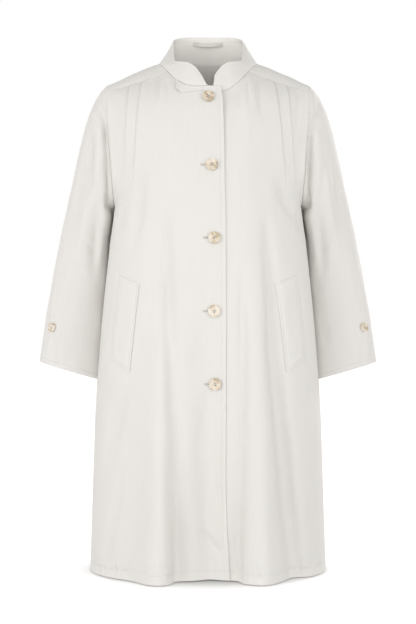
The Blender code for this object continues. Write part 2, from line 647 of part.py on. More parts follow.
def make_throat_tab(material):
    x = np.linspace(TAB_X_INNER, TAB_X_OUTER, TAB_COLUMNS + 1)
    upper = panel_top(RIGHT, x / armhole(YOKE_ANGLE)[0], True)[1] - TAB_SEAM_SPACE
    lower = np.full_like(x, TAB_BOTTOM_Z) + TAB_CORNER * ease(TAB_X_OUTER - TAB_CORNER, TAB_X_OUTER, x)
    rise = np.linspace(0, 1, TAB_ROWS + 1)[None]
    z = lower[:, None] * (1 - rise) + upper[:, None] * rise
    sewn_on("throat_tab", RIGHT, np.broadcast_to(-x[:, None], z.shape), z, SEAT_GAP, TAB_WALL, material)


def make_button(name, at, out, radius, seat, material):
    """A turned button with a raised rim, its back square to the cloth and seat above it."""
    profile = [(share * radius, height) for share, height in BUTTON_PROFILE]
    mesh = bpy.data.meshes.new(name)
    edges = [(k, k + 1) for k in range(len(profile) - 1)]
    mesh.from_pydata([(r * MM, 0, h * MM) for r, h in profile], edges, [])
    obj = placed(name, mesh, material)
    turn = obj.modifiers.new("Turn", "SCREW")
    turn.steps = turn.render_steps = BUTTON_SIDES
    turn.use_merge_vertices = True
    turn.merge_threshold = SMALL * MM
    aim = Vector(out).to_track_quat("Z", "Y").to_matrix().to_4x4()
    obj.matrix_world = Matrix.Translation(Vector((at + out * seat) * MM)) @ aim


def seat_height(points, at, out):
    """How far a flat back must stand off so that it clears the cloth at each of the points."""
    return max(0, float(((points - at) @ out).max())) + SEAT_GAP


def make_front_buttons(material):
    ring = np.linspace(0, 2 * np.pi, SEAT_POINTS, endpoint=False)
    for k, button in enumerate(BUTTONS, 1):
        xi, v = find_on_front(RIGHT, np.array(button.x), np.array(button.z))
        at, out = front_cloth(RIGHT, xi, v), facing_out(front_cloth, RIGHT, xi, v)
        x, z = button.x + BUTTON_RADIUS * np.cos(ring), button.z + BUTTON_RADIUS * np.sin(ring)
        around = front_cloth(RIGHT, *find_on_front(RIGHT, x, z))
        make_button(f"button_{k}", at, out, BUTTON_RADIUS, seat_height(around, at, out), material)


def make_cuff_button(side, label, material):
    turn, s = np.array(CUFF_BUTTON_TURN), np.array(CUFF_BUTTON_S)
    at = sleeve_cloth(side, turn, s) + np.array([side * LIE_GAP, 0, 0])
    out = sleeve_facing(side, turn, s)
    make_button("cuff_button_" + label, at, out, CUFF_BUTTON_RADIUS, LIE_GAP, material)


def make_material(name, colour, roughness):
    material = bpy.data.materials.new(name)
    material.use_nodes = True
    shader = material.node_tree.nodes["Principled BSDF"]
    shader.inputs["Base Color"].default_value = colour
    shader.inputs["Roughness"].default_value = roughness
    shader.inputs["Metallic"].default_value = 0
    return material


def main():
    for obj in list(bpy.data.objects):
        bpy.data.objects.remove(obj)
    bpy.context.scene.collection.children.link(bpy.data.collections.new(COAT))
    cloth = make_material("cotton_gabardine", CLOTH_COLOUR, CLOTH_ROUGHNESS)
    horn = make_material("horn", BUTTON_COLOUR, BUTTON_ROUGHNESS)
    right, left = Half(RIGHT), Half(LEFT)
    for half, label in ((right, "right"), (left, "left")):
        make_panels(half, label, cloth)
        make_welt(half.side, label, cloth)
        make_cuff_button(half.side, label, horn)
    make_back(right, left, cloth)
    make_hanger_loop(*make_collar(right, left, cloth), cloth)
    make_throat_tab(cloth)
    make_front_buttons(horn)


main()
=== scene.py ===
"""Dresses the long coat: cloth walls with their creases, the sewing, the horn buttons and the studio.

Sizes are in millimetres and angles in degrees until a mesh is made. The front faces -Y, the wearer's right is
at -X, and the origin lies midway between the points where the shoulders meet the neck.
"""

import logging
import math
from dataclasses import dataclass, field
from enum import Enum, IntEnum
from functools import cache
from typing import Callable, NamedTuple, Sequence

import bmesh
import bpy
import numpy as np
from mathutils import Matrix, Vector


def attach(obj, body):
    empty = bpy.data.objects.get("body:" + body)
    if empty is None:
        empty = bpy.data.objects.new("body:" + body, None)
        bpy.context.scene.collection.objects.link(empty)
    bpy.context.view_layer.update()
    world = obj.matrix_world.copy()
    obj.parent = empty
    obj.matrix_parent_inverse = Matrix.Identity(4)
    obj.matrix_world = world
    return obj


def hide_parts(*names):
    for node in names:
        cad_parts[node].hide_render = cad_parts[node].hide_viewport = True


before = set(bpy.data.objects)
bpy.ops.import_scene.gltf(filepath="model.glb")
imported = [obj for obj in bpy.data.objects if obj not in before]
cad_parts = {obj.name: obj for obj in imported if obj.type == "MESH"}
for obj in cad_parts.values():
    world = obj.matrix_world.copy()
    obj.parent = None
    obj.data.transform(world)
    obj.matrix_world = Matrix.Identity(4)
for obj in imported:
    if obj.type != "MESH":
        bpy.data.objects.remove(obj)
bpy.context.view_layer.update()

Array = np.ndarray
Surface = Callable[[Array, Array], Array]
Material, Mesh, Piece = bpy.types.Material, bpy.types.Mesh, bpy.types.Object
MM = 0.001
BODY = "root"
LEAST_FLAT = 0.01  # metres, the least length that a cut is logged with
FRONT_BUTTONS = tuple(f"button_{k}" for k in range(1, 6))
log = logging.getLogger("long_coat")


class Hand(IntEnum):
    """The wearer's side of the coat. The value is the sign of x there."""

    RIGHT = -1
    LEFT = 1

    @property
    def label(self) -> str:
        """The side in words."""
        return self.name.lower()


class Facing(Enum):
    """The half of the coat that a panel belongs to."""

    FRONT = "front"
    BACK = "back"


class Slot(Enum):
    """The record's material slots."""

    CLOTH = "cloth"
    HORN = "horn"


class Edge(Enum):
    """The four borders of a cut piece's grid."""

    FIRST_ROW = 0
    LAST_COLUMN = 1
    LAST_ROW = 2
    FIRST_COLUMN = 3


class Side(NamedTuple):
    """The side seam at one height."""

    z: float
    half_width: float
    y: float


class Level(NamedTuple):
    """Depths at the centre lines at one height, and how square the curves round to the sides are."""

    z: float
    front: float
    back: float
    front_power: float
    back_power: float


class Neck(NamedTuple):
    """A point of the neck seam."""

    x: float
    y: float
    z: float


class Lap(NamedTuple):
    """Where the edge of the right front lies past the centre at one height."""

    z: float
    x: float


class Guide(NamedTuple):
    """A guide column of the panels, as shares of the half width, and how many columns lead to the next."""

    at_hem: float
    at_underarm: float
    at_top: float
    columns: int


class Fold(NamedTuple):
    """A large ridge, or a valley where the height is below 0.

    On a sleeve x stands for the turn round the arm and z for the share along it.
    """

    x_top: float
    z_top: float
    x_end: float
    z_end: float
    height: float
    width_top: float
    width_end: float
    to_hem: bool = False


class Ring(NamedTuple):
    """A sleeve's ring: its outer and inner ends, its depth, and the turn from its outer end to the seam."""

    s: float
    out_x: float
    out_z: float
    in_x: float
    in_z: float
    y: float
    depth: float
    seam: float


class CollarEdge(NamedTuple):
    """The collar's upper edge at a share of the way from the throat to the centre back."""

    along: float
    x: float
    y: float
    z: float


class Crease(NamedTuple):
    """A soft trough, or a ridge where the height is above 0, along a path of x and z.

    It fades out at both ends over a share of its length, unless start or end says what is left of it there.
    """

    path: tuple
    height: float
    width: float
    start: float = 0.0
    end: float = 0.0
    fade: float = 0.4


SIDES = (
    Side(-1056, 247, 0),
    Side(-900, 242, -4),
    Side(-720, 235, -8),
    Side(-600, 227, -8),
    Side(-496, 218, -6),
    Side(-400, 208, 3),
    Side(-302, 195, 10),
)
LEVELS = (
    Level(-1056, 165, 165, 2.15, 1.90),
    Level(-900, 160, 160, 2.15, 1.80),
    Level(-720, 154, 153, 2.15, 1.65),
    Level(-496, 146, 142, 2.15, 1.62),
    Level(-302, 138, 131, 2.20, 1.95),
    Level(-215, 130, 128, 2.35, 2.25),
    Level(-165, 122, 124, 2.40, 2.40),
    Level(-110, 110, 118, 2.40, 2.40),
    Level(-62, 92, 109, 2.40, 2.40),
    Level(14, 62, 80, 2.40, 2.40),
)
NECK = (
    Neck(0, -92, -62),
    Neck(22, -90, -62),
    Neck(42, -84, -59),
    Neck(63, -70, -47),
    Neck(84, -41, -23),
    Neck(98, -14, -6),
    Neck(103, 10, 2),
    Neck(97, 36, 6),
    Neck(84, 56, 8),
    Neck(42, 75, 12),
    Neck(0, 80, 14),
)
NECK_FRONT, NECK_BACK = 4, 8  # rows where the yoke's front and back seams start
LAP = (
    Lap(-1056, 39.6),
    Lap(-880, 37),
    Lap(-540, 36),
    Lap(-400, 35),
    Lap(-260, 32.6),
    Lap(-185, 32.2),
    Lap(-100, 30.6),
    Lap(-60, 27),
)
GUIDES = (
    Guide(0.00, 0.00, 0.00, 40),  # centre line
    Guide(0.46, 0.50, 0.3961, 20),  # neck end of the yoke seam
    Guide(0.76, 0.761, 0.635, 7),  # inner tuck
    Guide(0.86, 0.853, 0.76, 9),  # outer tuck
    Guide(1.00, 1.00, 1.00, 0),  # side seam and armhole
)
TUCK_GUIDES = (2, 3)
LEFT_LEAN = 0.035  # how much further out the left tucks end, as a share of the half width

FRONT_FOLDS = (
    Fold(-86, -300, -97, -1056, 29, 30, 38, True),  # right flute
    Fold(94, -300, 104, -1056, 27, 30, 36, True),  # left flute
    Fold(2, -380, 4, -1056, -40, 40, 46, True),  # hollow under the buttons
    Fold(108, -200, 172, -1056, -9, 12, 18, True),  # long valley beside the left flute
    Fold(-128, -195, -158, -420, -5, 10, 14),
    Fold(-163, -640, -214, -860, -8, 12, 16),
    Fold(136, -240, 182, -345, -5, 10, 12),
    Fold(-101, -15, -112, -110, -2.2, 4, 6),  # gathers under the collar
    Fold(-84, -25, -86, -105, -2.2, 4, 6),
    Fold(-58, -48, -58, -110, -1.6, 4, 6),
    Fold(101, -15, 116, -140, -2.2, 4, 7),
    Fold(80, -25, 86, -120, -2.2, 4, 6),
    Fold(57, -55, 60, -115, -1.8, 4, 6),
)
BACK_FOLDS = (
    Fold(-105, -330, -128, -1056, 20, 34, 44, True),
    Fold(4, -300, 2, -1056, 14, 30, 40, True),
    Fold(110, -330, 126, -1056, 21, 34, 44, True),
    Fold(-52, -420, -62, -1056, -12, 20, 30, True),
    Fold(56, -420, 64, -1056, -12, 20, 30, True),
)
SLEEVE = (
    Ring(0.00, 213, -46, 195, -302, 10, 70, 0),
    Ring(0.06, 231, -66, 199, -322, 13, 71, 2),
    Ring(0.14, 250, -104, 204, -350, 20, 70, 6),
    Ring(0.24, 268, -163, 209, -385, 31, 67, 12),
    Ring(0.38, 290, -253, 211, -435, 42, 61, 22),
    Ring(0.56, 316, -369, 211, -505, 50, 56, 33),
    Ring(0.78, 342, -503, 212, -590, 52, 51, 42),
    Ring(1.00, 360, -626, 214, -668, 50, 48, 44),
)
ARMHOLE, CUFF = SLEEVE[0], SLEEVE[-1]
SLEEVE_FOLDS = (
    Fold(58, 0.02, 52, 0.55, -8, 12, 12),
    Fold(82, 0.05, 80, 0.62, 6, 13, 13),
    Fold(112, 0.10, 108, 0.60, -7, 12, 12),
    Fold(-60, 0.04, -55, 0.60, -7, 13, 13),
    Fold(-95, 0.05, -90, 0.62, 5, 14, 14),
)
COLLAR_TOP = (
    CollarEdge(0.00, 3.5, -91, -58),
    CollarEdge(0.05, 9, -87, -46),
    CollarEdge(0.10, 17, -83, -33),
    CollarEdge(0.16, 28, -77, -19),
    CollarEdge(0.23, 42, -70, -10),
    CollarEdge(0.32, 59, -58, -6),
    CollarEdge(0.40, 68, -44, -2),
    CollarEdge(0.475, 71, -22, 13),
    CollarEdge(0.557, 72.5, 2, 33),
    CollarEdge(0.65, 73.5, 28, 54),
    CollarEdge(0.741, 63, 49, 64),
    CollarEdge(0.866, 36, 62, 69),
    CollarEdge(1.00, 0, 66, 70),
)

CREASE_START, CREASE_GAIN = 0.75, 0.5  # width at a crease's start and how much it gains, as shares
# Creases finer than the large folds, each placed one by one
FRONT_CREASES = (
    Crease(((-169, -285), (-175, -323), (-184, -374)), -2.6, 8),  # from the ends of the right tucks
    Crease(((-189, -80), (-188, -115), (-188, -168)), -2.6, 5, 0.8),  # soft third tuck
    Crease(((-125, -221), (-139, -342), (-155, -402)), -3.0, 8),
    Crease(
        ((-84, -270), (-84, -437), (-73, -596), (-61, -773), (-58, -890), (-51, -1050)),
        -11.5, 16, 0, 0.9, 0.25,
    ),
    Crease(((-101, -250), (-98, -420), (-90, -640)), -5.5, 27),  # broad hollow above it
    Crease(((-104, -734), (-94, -872), (-90, -1006)), 3.0, 14, 0, 1),
    Crease(((-150, -600), (-166, -698), (-188, -790), (-204, -870)), -2.0, 15),
    Crease(((-172, -822), (-177, -869), (-192, -941), (-206, -1020)), -4.0, 9, 0, 0.6),
    Crease(((-52, -860), (-50, -960), (-47, -1056)), -11.0, 15, 0, 1, 0.7),  # the hollow's corners at the hem
    Crease(((50, -880), (47, -980), (45, -1056)), -9.0, 14, 0, 1, 0.7),
    Crease(((-22, -941), (6, -981), (34, -1016)), -3.6, 6),
    Crease(((-99, -34), (-107, -102)), -2.2, 4, 1),  # gathers under the right of the collar
    Crease(((-86, -50), (-85, -103)), -2.2, 4, 1),
    Crease(((-120, -46), (-122, -95)), -1.4, 5, 1),
    Crease(((181, -300), (189, -340), (193, -372)), -2.6, 8),  # from the ends of the left tucks
    Crease(((188, -66), (185, -101), (179, -164)), -3.0, 5, 1),  # soft third tuck
    Crease(
        ((112, -280), (126, -470), (129, -597), (145, -746), (156, -856), (181, -1050)),
        -10.5, 14, 0, 0.9, 0.25,
    ),
    Crease(((67, -380), (68, -596), (62, -774), (58, -931), (52, -1045)), -8.5, 12, 0, 0.9, 0.3),
    Crease(((133, -271), (156, -304), (180, -339)), -2.8, 7),
    Crease(((98, -40), (104, -90), (110, -140)), -2.8, 4, 1),  # gathers under the left of the collar
    Crease(((81, -51), (82, -123)), -2.2, 4, 1),
    Crease(((57, -75), (58, -114)), -1.8, 4, 1),
    Crease(((206, -560), (214, -660), (217, -760)), -2.4, 10),
    Crease(((-196, -430), (-206, -520), (-212, -600)), -2.0, 10),
    Crease(((-183, -446), (-202.5, -616)), -2.6, 3.4, 0.7, 0.9),  # mouth of the right pocket
    Crease(((183, -446), (202.5, -616)), -2.6, 3.4, 0.7, 0.9),  # mouth of the left pocket
)
BACK_CREASES = (
    Crease(((-150, -62), (-158, -130), (-160, -200)), -1.8, 7, 0.9),
    Crease(((146, -62), (154, -140), (166, -215)), -2.0, 7, 0.9),
    Crease(((-60, -40), (-66, -160), (-70, -300)), -1.4, 10, 0.6),
    Crease(((72, -38), (76, -150), (70, -260)), -1.4, 10, 0.6),
    Crease(((-14, -10), (-20, -96)), -1.0, 6, 0.8),
    Crease(((26, -10), (24, -120)), -0.8, 6, 0.8),
    Crease(((-172, -262), (-150, -330), (-118, -395)), -4.0, 9),
    Crease(((174, -255), (148, -335), (112, -420)), -4.2, 9),
    Crease(((-184, -330), (-160, -385), (-138, -420)), -1.6, 8),
    Crease(((-88, -380), (-98, -520), (-104, -700), (-112, -880), (-118, -1050)), -7.5, 14, 0, 0.9, 0.25),
    Crease(((70, -420), (84, -560), (92, -740), (98, -900), (104, -1050)), -7.0, 13, 0, 0.9, 0.3),
    Crease(((14, -440), (24, -620), (30, -800), (28, -1050)), -5.5, 12, 0, 0.8, 0.35),
    Crease(((-190, -500), (-204, -640), (-214, -800)), -1.8, 9),
    Crease(((196, -470), (206, -620), (216, -760)), -1.8, 9),
    Crease(((-30, -700), (-38, -860), (-34, -1020)), 3.0, 12, 0, 1),
    Crease(((160, -800), (178, -920), (184, -1040)), -4.5, 10, 0, 0.9),
    Crease(((-176, -860), (-190, -960), (-196, -1046)), -4.0, 9, 0, 0.9),
)
SLEEVE_CREASES = (
    Crease(((-228, -80), (-222, -112), (-212, -150), (-206, -190)), -11.0, 12, 0.3),  # beside the right cap
    Crease(((-246, -120), (-247, -180), (-250, -260), (-262, -330)), -8.5, 11),
    Crease(((-212, -120), (-209, -165), (-206, -225), (-202, -300)), -11, 12, 0.1, 1),
    Crease(((-262, -190), (-276, -262), (-284, -330)), 1.8, 9),
    Crease(((-262, -360), (-240, -392), (-220, -410)), -2.2, 8),
    Crease(((-304, -404), (-270, -430), (-238, -440)), -1.8, 8),
    Crease(((-288, -470), (-298, -540), (-300, -610)), -1.4, 10),
    Crease(((-336, -500), (-340, -560)), -0.9, 7),
    Crease(((230, -70), (231, -98), (222, -135), (212, -172)), -6.5, 8, 0.4),  # beside the left cap
    Crease(((213, -115), (210, -165), (206, -225), (202, -300)), -12, 11, 0.1, 1),
    Crease(((251, -150), (254, -220), (250, -300)), 2.2, 8),
    Crease(((238, -190), (240, -260), (246, -330)), -2.0, 8),
    Crease(((268, -350), (244, -384), (224, -402)), -2.0, 8),
    Crease(((298, -412), (268, -438), (238, -454)), -1.8, 8),
    Crease(((292, -480), (302, -548), (306, -614)), -1.3, 10),
    Crease(((250, -540), (246, -600)), -1.0, 8),
)


def guides(hand: Hand) -> tuple:
    """Gives the guide columns of one side. The left tucks lean out more.

    Args:
        hand: the wearer's side.

    Returns:
        The guides.
    """
    lean = LEFT_LEAN if hand is Hand.LEFT else 0.0
    leans = [lean * (i in TUCK_GUIDES) for i in range(len(GUIDES))]
    return tuple(guide._replace(at_underarm=guide.at_underarm + lean) for guide, lean in zip(GUIDES, leans))


def smooth(at: Array, knots: Sequence[float], values: Sequence[float]) -> Array:
    """Reads a curve that goes through the knots and never overshoots them.

    Args:
        at: where the curve is read.
        knots: rising places along it.
        values: its value at each knot.

    Returns:
        The values at those places.
    """
    knots, values = np.asarray(knots, float), np.asarray(values, float)
    at = np.clip(at, knots[0], knots[-1])
    step = np.diff(knots)
    rise = np.diff(values) / step
    both = rise[:-1] * rise[1:]
    inner = np.where(both > 0, 2 * both / np.where(both > 0, rise[:-1] + rise[1:], 1), 0)
    slope = np.concatenate([rise[:1], inner, rise[-1:]])
    i = np.clip(np.searchsorted(knots, at, side="right") - 1, 0, len(step) - 1)
    t = (at - knots[i]) / step[i]
    ends = values[i] * (1 + 2 * t) * (1 - t) ** 2 + values[i + 1] * t * t * (3 - 2 * t)
    return ends + step[i] * (slope[i] * t * (1 - t) ** 2 + slope[i + 1] * t * t * (t - 1))


def read(table: Sequence[NamedTuple], key: str, name: str, at: Array) -> Array:
    """Reads one named column of a table as a smooth curve of another, the key."""
    order = sorted(table, key=lambda row: getattr(row, key))
    return smooth(at, [getattr(row, key) for row in order], [getattr(row, name) for row in order])


def ease(low: float, high: float, at: Array) -> Array:
    """Gives 0 below low and 1 above high, with a smooth rise between."""
    t = np.clip((at - low) / (high - low), 0, 1)
    return t * t * (3 - 2 * t)


def swell(distance: Array, width: float) -> Array:
    """Gives a soft bump of height 1 that is about twice the width across."""
    return np.exp(-((distance / width) ** 2))


def unit(vectors: Array) -> Array:
    """Scales vectors to length 1."""
    return vectors / np.maximum(np.linalg.norm(vectors, axis=-1, keepdims=True), 1e-9)


def signed_power(values: Array, power: float) -> Array:
    """Raises the size of each value to a power and keeps its sign."""
    return np.sign(values) * np.abs(values) ** power


def way_along(path: Array) -> Array:
    """Gives the way along a path to each of its points."""
    return np.concatenate([[0], np.cumsum(np.linalg.norm(np.diff(path, axis=0), axis=1))])


def read_path(at: Array, way: Array, values: Array) -> Array:
    """Reads a path's points or directions at some ways along it."""
    return np.stack([np.interp(at, way, values[:, k]) for k in range(3)], -1)


def facing_out(
    surface: Surface, u: Array, v: Array, sign: float, u_step: float = 1e-3, u_high: float = 1.0
) -> Array:
    """Works out which way a surface faces by small steps over it.

    Args:
        surface: gives points from u and v.
        u: places across it.
        v: places along it, from 0 to 1.
        sign: 1 or -1, to turn the directions outwards.
        u_step: how far to step across.
        u_high: the end of the surface across.

    Returns:
        A unit vector for each place.
    """
    v_step = 1e-3
    across = surface(np.minimum(u + u_step, u_high), v) - surface(u - u_step, v)
    along = surface(u, np.minimum(v + v_step, 1)) - surface(u, np.maximum(v - v_step, 0))
    return unit(np.cross(across, along)) * sign


def creased(creases: Sequence[Crease], x: Array, z: Array) -> Array:
    """Adds up the heights of creases.

    Args:
        creases: the creases.
        x: places across the coat.
        z: places up the coat.

    Returns:
        How far the cloth stands out at each place.
    """
    total = np.zeros_like(x)
    for crease in creases:
        knots = np.array(crease.path, float)
        near, along, done = np.full_like(x, np.inf), np.zeros_like(x), 0.0
        for start, step in zip(knots, np.diff(knots, axis=0)):
            length = float(np.hypot(*step))
            share = np.clip(((x - start[0]) * step[0] + (z - start[1]) * step[1]) / length**2, 0, 1)
            gap = np.hypot(x - start[0] - share * step[0], z - start[1] - share * step[1])
            along = np.where(gap < near, done + share * length, along)
            near = np.minimum(near, gap)
            done += length
        run = along / done
        strength = crease.start + (1 - crease.start) * ease(0, crease.fade, run)
        strength = strength * (crease.end + (1 - crease.end) * ease(0, crease.fade, 1 - run))
        total += crease.height * strength * swell(near, crease.width * (CREASE_START + CREASE_GAIN * run))
    return total


def fold_height(folds: Sequence[Fold], x: Array, z: Array) -> Array:
    """Adds up the heights of large folds.

    Args:
        folds: the ridges and valleys.
        x: places across the coat, or turns round a sleeve.
        z: places up the coat, or shares along a sleeve.

    Returns:
        How far the cloth stands out at each place.
    """
    total = np.zeros(np.broadcast(x, z).shape)
    for fold in folds:
        run = np.clip((z - fold.z_top) / (fold.z_end - fold.z_top), 0, 1)
        size = ease(0, 1, run) if fold.to_hem else np.sin(np.pi * run) ** 2
        line = fold.x_top + run * (fold.x_end - fold.x_top)
        width = fold.width_top + run * (fold.width_end - fold.width_top)
        total += fold.height * size * swell(x - line, width)
    return total


@dataclass(frozen=True)
class Ripple:
    """Gentle unevenness of hung cloth, as seeded waves in all directions."""

    height: float = 0.35
    wavelength: float = 95.0
    spread: tuple = (0.5, 1.6)
    across: float = 1.4
    along: float = 0.7
    seed: int = 5
    waves: int = 14

    def read(self, x: Array, z: Array) -> Array:
        """Gives the height of the waves.

        Args:
            x: places across the cloth.
            z: places along it.

        Returns:
            The height at each place.
        """
        draw = np.random.default_rng(self.seed)
        total = np.zeros(np.broadcast(x, z).shape)
        for _ in range(self.waves):
            turn, phase = draw.uniform(0, np.pi), draw.uniform(0, 2 * np.pi)
            size = 2 * np.pi / (self.wavelength * draw.uniform(*self.spread))
            way = self.across * x * np.cos(turn) + self.along * z * np.sin(turn)
            total = total + np.sin(size * way + phase)
        return self.height * total / math.sqrt(self.waves / 2)


@dataclass(frozen=True)
class StitchedLine:
    """The groove that a row of stitches pulls into cloth, with soft puffs beside it."""

    depth: float = 0.7
    width: float = 1.3
    puff: float = 0.15
    puff_at: float = 4.5
    puff_width: float = 2.5
    unevenness: float = 0.4
    beats: tuple = (3.7, 11.3)
    beat_shift: float = 1.1

    def read(self, distance: Array, along: Array) -> Array:
        """Gives the height of cloth beside a row of stitches.

        Args:
            distance: from the row.
            along: the way along it, which draws it up unevenly.

        Returns:
            The height at each place.
        """
        quick, slow = self.beats
        pull = 1 + self.unevenness * np.sin(along / quick) * np.sin(along / slow + self.beat_shift)
        sides = (distance - self.puff_at, distance + self.puff_at)
        beside = sum(swell(side, self.puff_width) for side in sides)
        return pull * (self.puff * beside - self.depth * swell(distance, self.width))


@dataclass(frozen=True)
class CoatForm:
    """The shape that all the cloth shares, the same as that of the solids."""

    wall: float = 1.5
    lie_gap: float = 0.4
    seat_gap: float = 0.8
    arm_gap: float = 0.1
    hem_z: float = -1056.0
    underarm_v: float = 0.75
    under_lap_x: float = 25.0
    lap_inset: float = 2.1
    lap_blend: tuple = (10.0, 28.0)
    left_neck_drop: float = 12.0
    neck_drop_blend: tuple = (20.0, 80.0)
    neck_roll: float = 45.0
    flat_chest_z: float = -130.0
    edge_power: float = 16.0
    rim_power: float = 70.0
    settle_z: float = -235.0
    underarm_fill: float = 9.0
    fill_fade: float = 90.0
    fill_round: float = 25.0
    oval_power: float = 2.2
    yoke_angle: float = 27.0
    seam_sag_front: float = 7.0
    seam_sag_back: float = -2.0
    yoke_crown: float = 5.0
    fold_spread: float = 0.45
    sleeve_fold_spread: float = 0.35
    search_rounds: int = 60

    @property
    def side_length(self) -> float:
        """The height of the side seams."""
        return ARMHOLE.in_z - self.hem_z

    @property
    def shoulder_x(self) -> float:
        """Where the yoke's front and back seams end at the armhole."""
        return self.armhole(self.yoke_angle)[0]

    def oval(self, angle: Array, ring: Ring) -> tuple:
        """Gives places on a ring of a sleeve.

        Args:
            angle: 0 at the ring's outer end, 180 at its inner end, and below 0 behind.
            ring: its ends, its place and its depth, as numbers or arrays.

        Returns:
            x, y and z, and how far up and how far forward each place is, from -1 to 1.
        """
        turn = np.radians(angle)
        rise, deep = (signed_power(wave(turn), 2 / self.oval_power) for wave in (np.cos, np.sin))
        x = (ring.out_x + ring.in_x) / 2 + (ring.out_x - ring.in_x) / 2 * rise
        z = (ring.out_z + ring.in_z) / 2 + (ring.out_z - ring.in_z) / 2 * rise
        return x, ring.y - ring.depth * deep, z, rise, deep

    def ring(self, s: Array) -> Ring:
        """Gives the ring of a sleeve at each share along it."""
        return Ring(*(read(SLEEVE, "s", name, s) for name in Ring._fields))

    def armhole(self, angle: Array) -> tuple:
        """Gives x, y and z on the armhole: 0 at the shoulder, 180 under the arm, and below 0 behind."""
        return self.oval(angle, ARMHOLE)[:3]

    def panel_edge(self, v: Array, facing: Facing) -> tuple:
        """Gives places on the outer edge of a panel: its side seam, then its armhole.

        Args:
            v: 0 at the hem and 1 at the yoke seam.
            facing: front or back.

        Returns:
            x, y and z.
        """
        low_z = self.hem_z + np.minimum(v / self.underarm_v, 1) * self.side_length
        high = np.maximum(v - self.underarm_v, 0) / (1 - self.underarm_v)
        angle = 180 - high * (180 - self.yoke_angle)
        arm_x, arm_y, arm_z = self.armhole(angle if facing is Facing.FRONT else -angle)
        low = v <= self.underarm_v
        x = np.where(low, read(SIDES, "z", "half_width", low_z), arm_x)
        y = np.where(low, read(SIDES, "z", "y", low_z), arm_y)
        return x, y, np.where(low, low_z, arm_z)

    def half_width(self, v: Array) -> Array:
        """Gives how far the outer edge of a panel is from the centre at each row."""
        return self.panel_edge(v, Facing.FRONT)[0]

    def yoke_seam(self, along: Array, facing: Facing) -> Array:
        """Gives points of a yoke's front or back seam.

        Args:
            along: 0 at the neck and 1 at the armhole.
            facing: front or back.

        Returns:
            The points.
        """
        front = facing is Facing.FRONT
        along = np.asarray(along)[..., None]
        start = np.array(NECK[NECK_FRONT if front else NECK_BACK], float)
        end = np.stack(self.armhole(self.yoke_angle if front else -self.yoke_angle))
        sag = self.seam_sag_front if front else self.seam_sag_back
        return start + along * (end - start) - np.array([0, 0, sag]) * 4 * along * (1 - along)

    def panel_top(self, hand: Hand, xi: Array, facing: Facing) -> tuple:
        """Gives places on the upper edge of a panel: its neck, then its yoke seam.

        Args:
            hand: the wearer's side.
            xi: shares of the half width.
            facing: front or back.

        Returns:
            y and z.
        """
        front = facing is Facing.FRONT
        x = np.abs(xi) * self.shoulder_x
        rows = NECK[: NECK_FRONT + 1] if front else NECK[NECK_BACK:]
        corner = max(row.x for row in rows)
        seam = self.yoke_seam(np.clip((x - corner) / (self.shoulder_x - corner), 0, 1), facing)
        y = np.where(x > corner, seam[..., 1], read(rows, "x", "y", x))
        z = np.where(x > corner, seam[..., 2], read(rows, "x", "z", x))
        if front and hand is Hand.LEFT:
            z = z - self.left_neck_drop * (1 - ease(*self.neck_drop_blend, x))
        return y, z

    def panel(self, hand: Hand, xi: Array, v: Array, facing: Facing) -> Array:
        """Gives outer points of a front or of half the back, before its finer creases.

        Args:
            hand: the wearer's side.
            xi: 0 at the centre line, 1 at the side seam or armhole, and below 0 across the lap.
            v: 0 at the hem and 1 at the neck and the yoke seam.
            facing: front or back.

        Returns:
            The points.
        """
        front = facing is Facing.FRONT
        name, way = facing.value, -1 if front else 1
        edge_x, edge_y, edge_z = self.panel_edge(v, facing)
        _, last_y, last_z = self.panel_edge(np.array(1.0), facing)
        rise = (edge_z - self.hem_z) / (last_z - self.hem_z)
        top_y, top_z = self.panel_top(hand, xi, facing)
        centre_top_z = self.panel_top(Hand.RIGHT, np.array(0.0), facing)[1]
        side_y = np.where(v > self.underarm_v, ARMHOLE.y, edge_y)
        share = np.abs(xi)

        def curve(edge: Array, height: Array, centre_height: Array, flat: float | Array) -> Array:
            """Gives the round body, brought to the armhole along its edge, going over to a flatter chest.

            Args:
                edge: y at the panel's outer edge.
                height: z there.
                centre_height: z at the centre line.
                flat: 0 for the round body and 1 for the flatter chest.

            Returns:
                y at each place.
            """
            depth = way * read(LEVELS, "z", name, centre_height)
            power = read(LEVELS, "z", name + "_power", height)
            body = side_y + (depth - side_y) * np.maximum(1 - share**power, 0) ** (1 / power)
            settled = side_y + (edge - side_y) * ease(ARMHOLE.in_z, self.settle_z, height)
            body = body + (settled - side_y) * share**self.edge_power
            body = body + (edge - settled) * share**self.rim_power
            chest = edge + (depth - edge) * (1 - share**power)
            return body + (chest - body) * flat

        z = self.hem_z + rise * (top_z - self.hem_z)
        roll = (top_y - curve(last_y, last_z, centre_top_z, 1)) * np.exp((z - top_z) / self.neck_roll)
        flat = ease(ARMHOLE.in_z, self.flat_chest_z, edge_z)
        y = curve(edge_y, edge_z, self.hem_z + rise * (centre_top_z - self.hem_z), flat) + roll
        apart = np.hypot(edge_z - ARMHOLE.in_z, self.fill_round) - self.fill_round
        fill = self.underarm_fill * np.exp(-apart / self.fill_fade)
        x = hand * np.sign(xi) * (share * edge_x + fill * (share - share**self.edge_power))
        points = np.stack(np.broadcast_arrays(x, y, z), -1)
        height = fold_height(FRONT_FOLDS if front else BACK_FOLDS, points[..., 0], points[..., 2])
        points = points + unit(points * np.array([self.fold_spread, 1, 0])) * height[..., None]
        if front and hand is Hand.LEFT:
            past_edge = points[..., 0] - read(LAP, "z", "x", points[..., 2])
            points[..., 1] += self.lap_inset * (1 - ease(*self.lap_blend, past_edge))
        return points

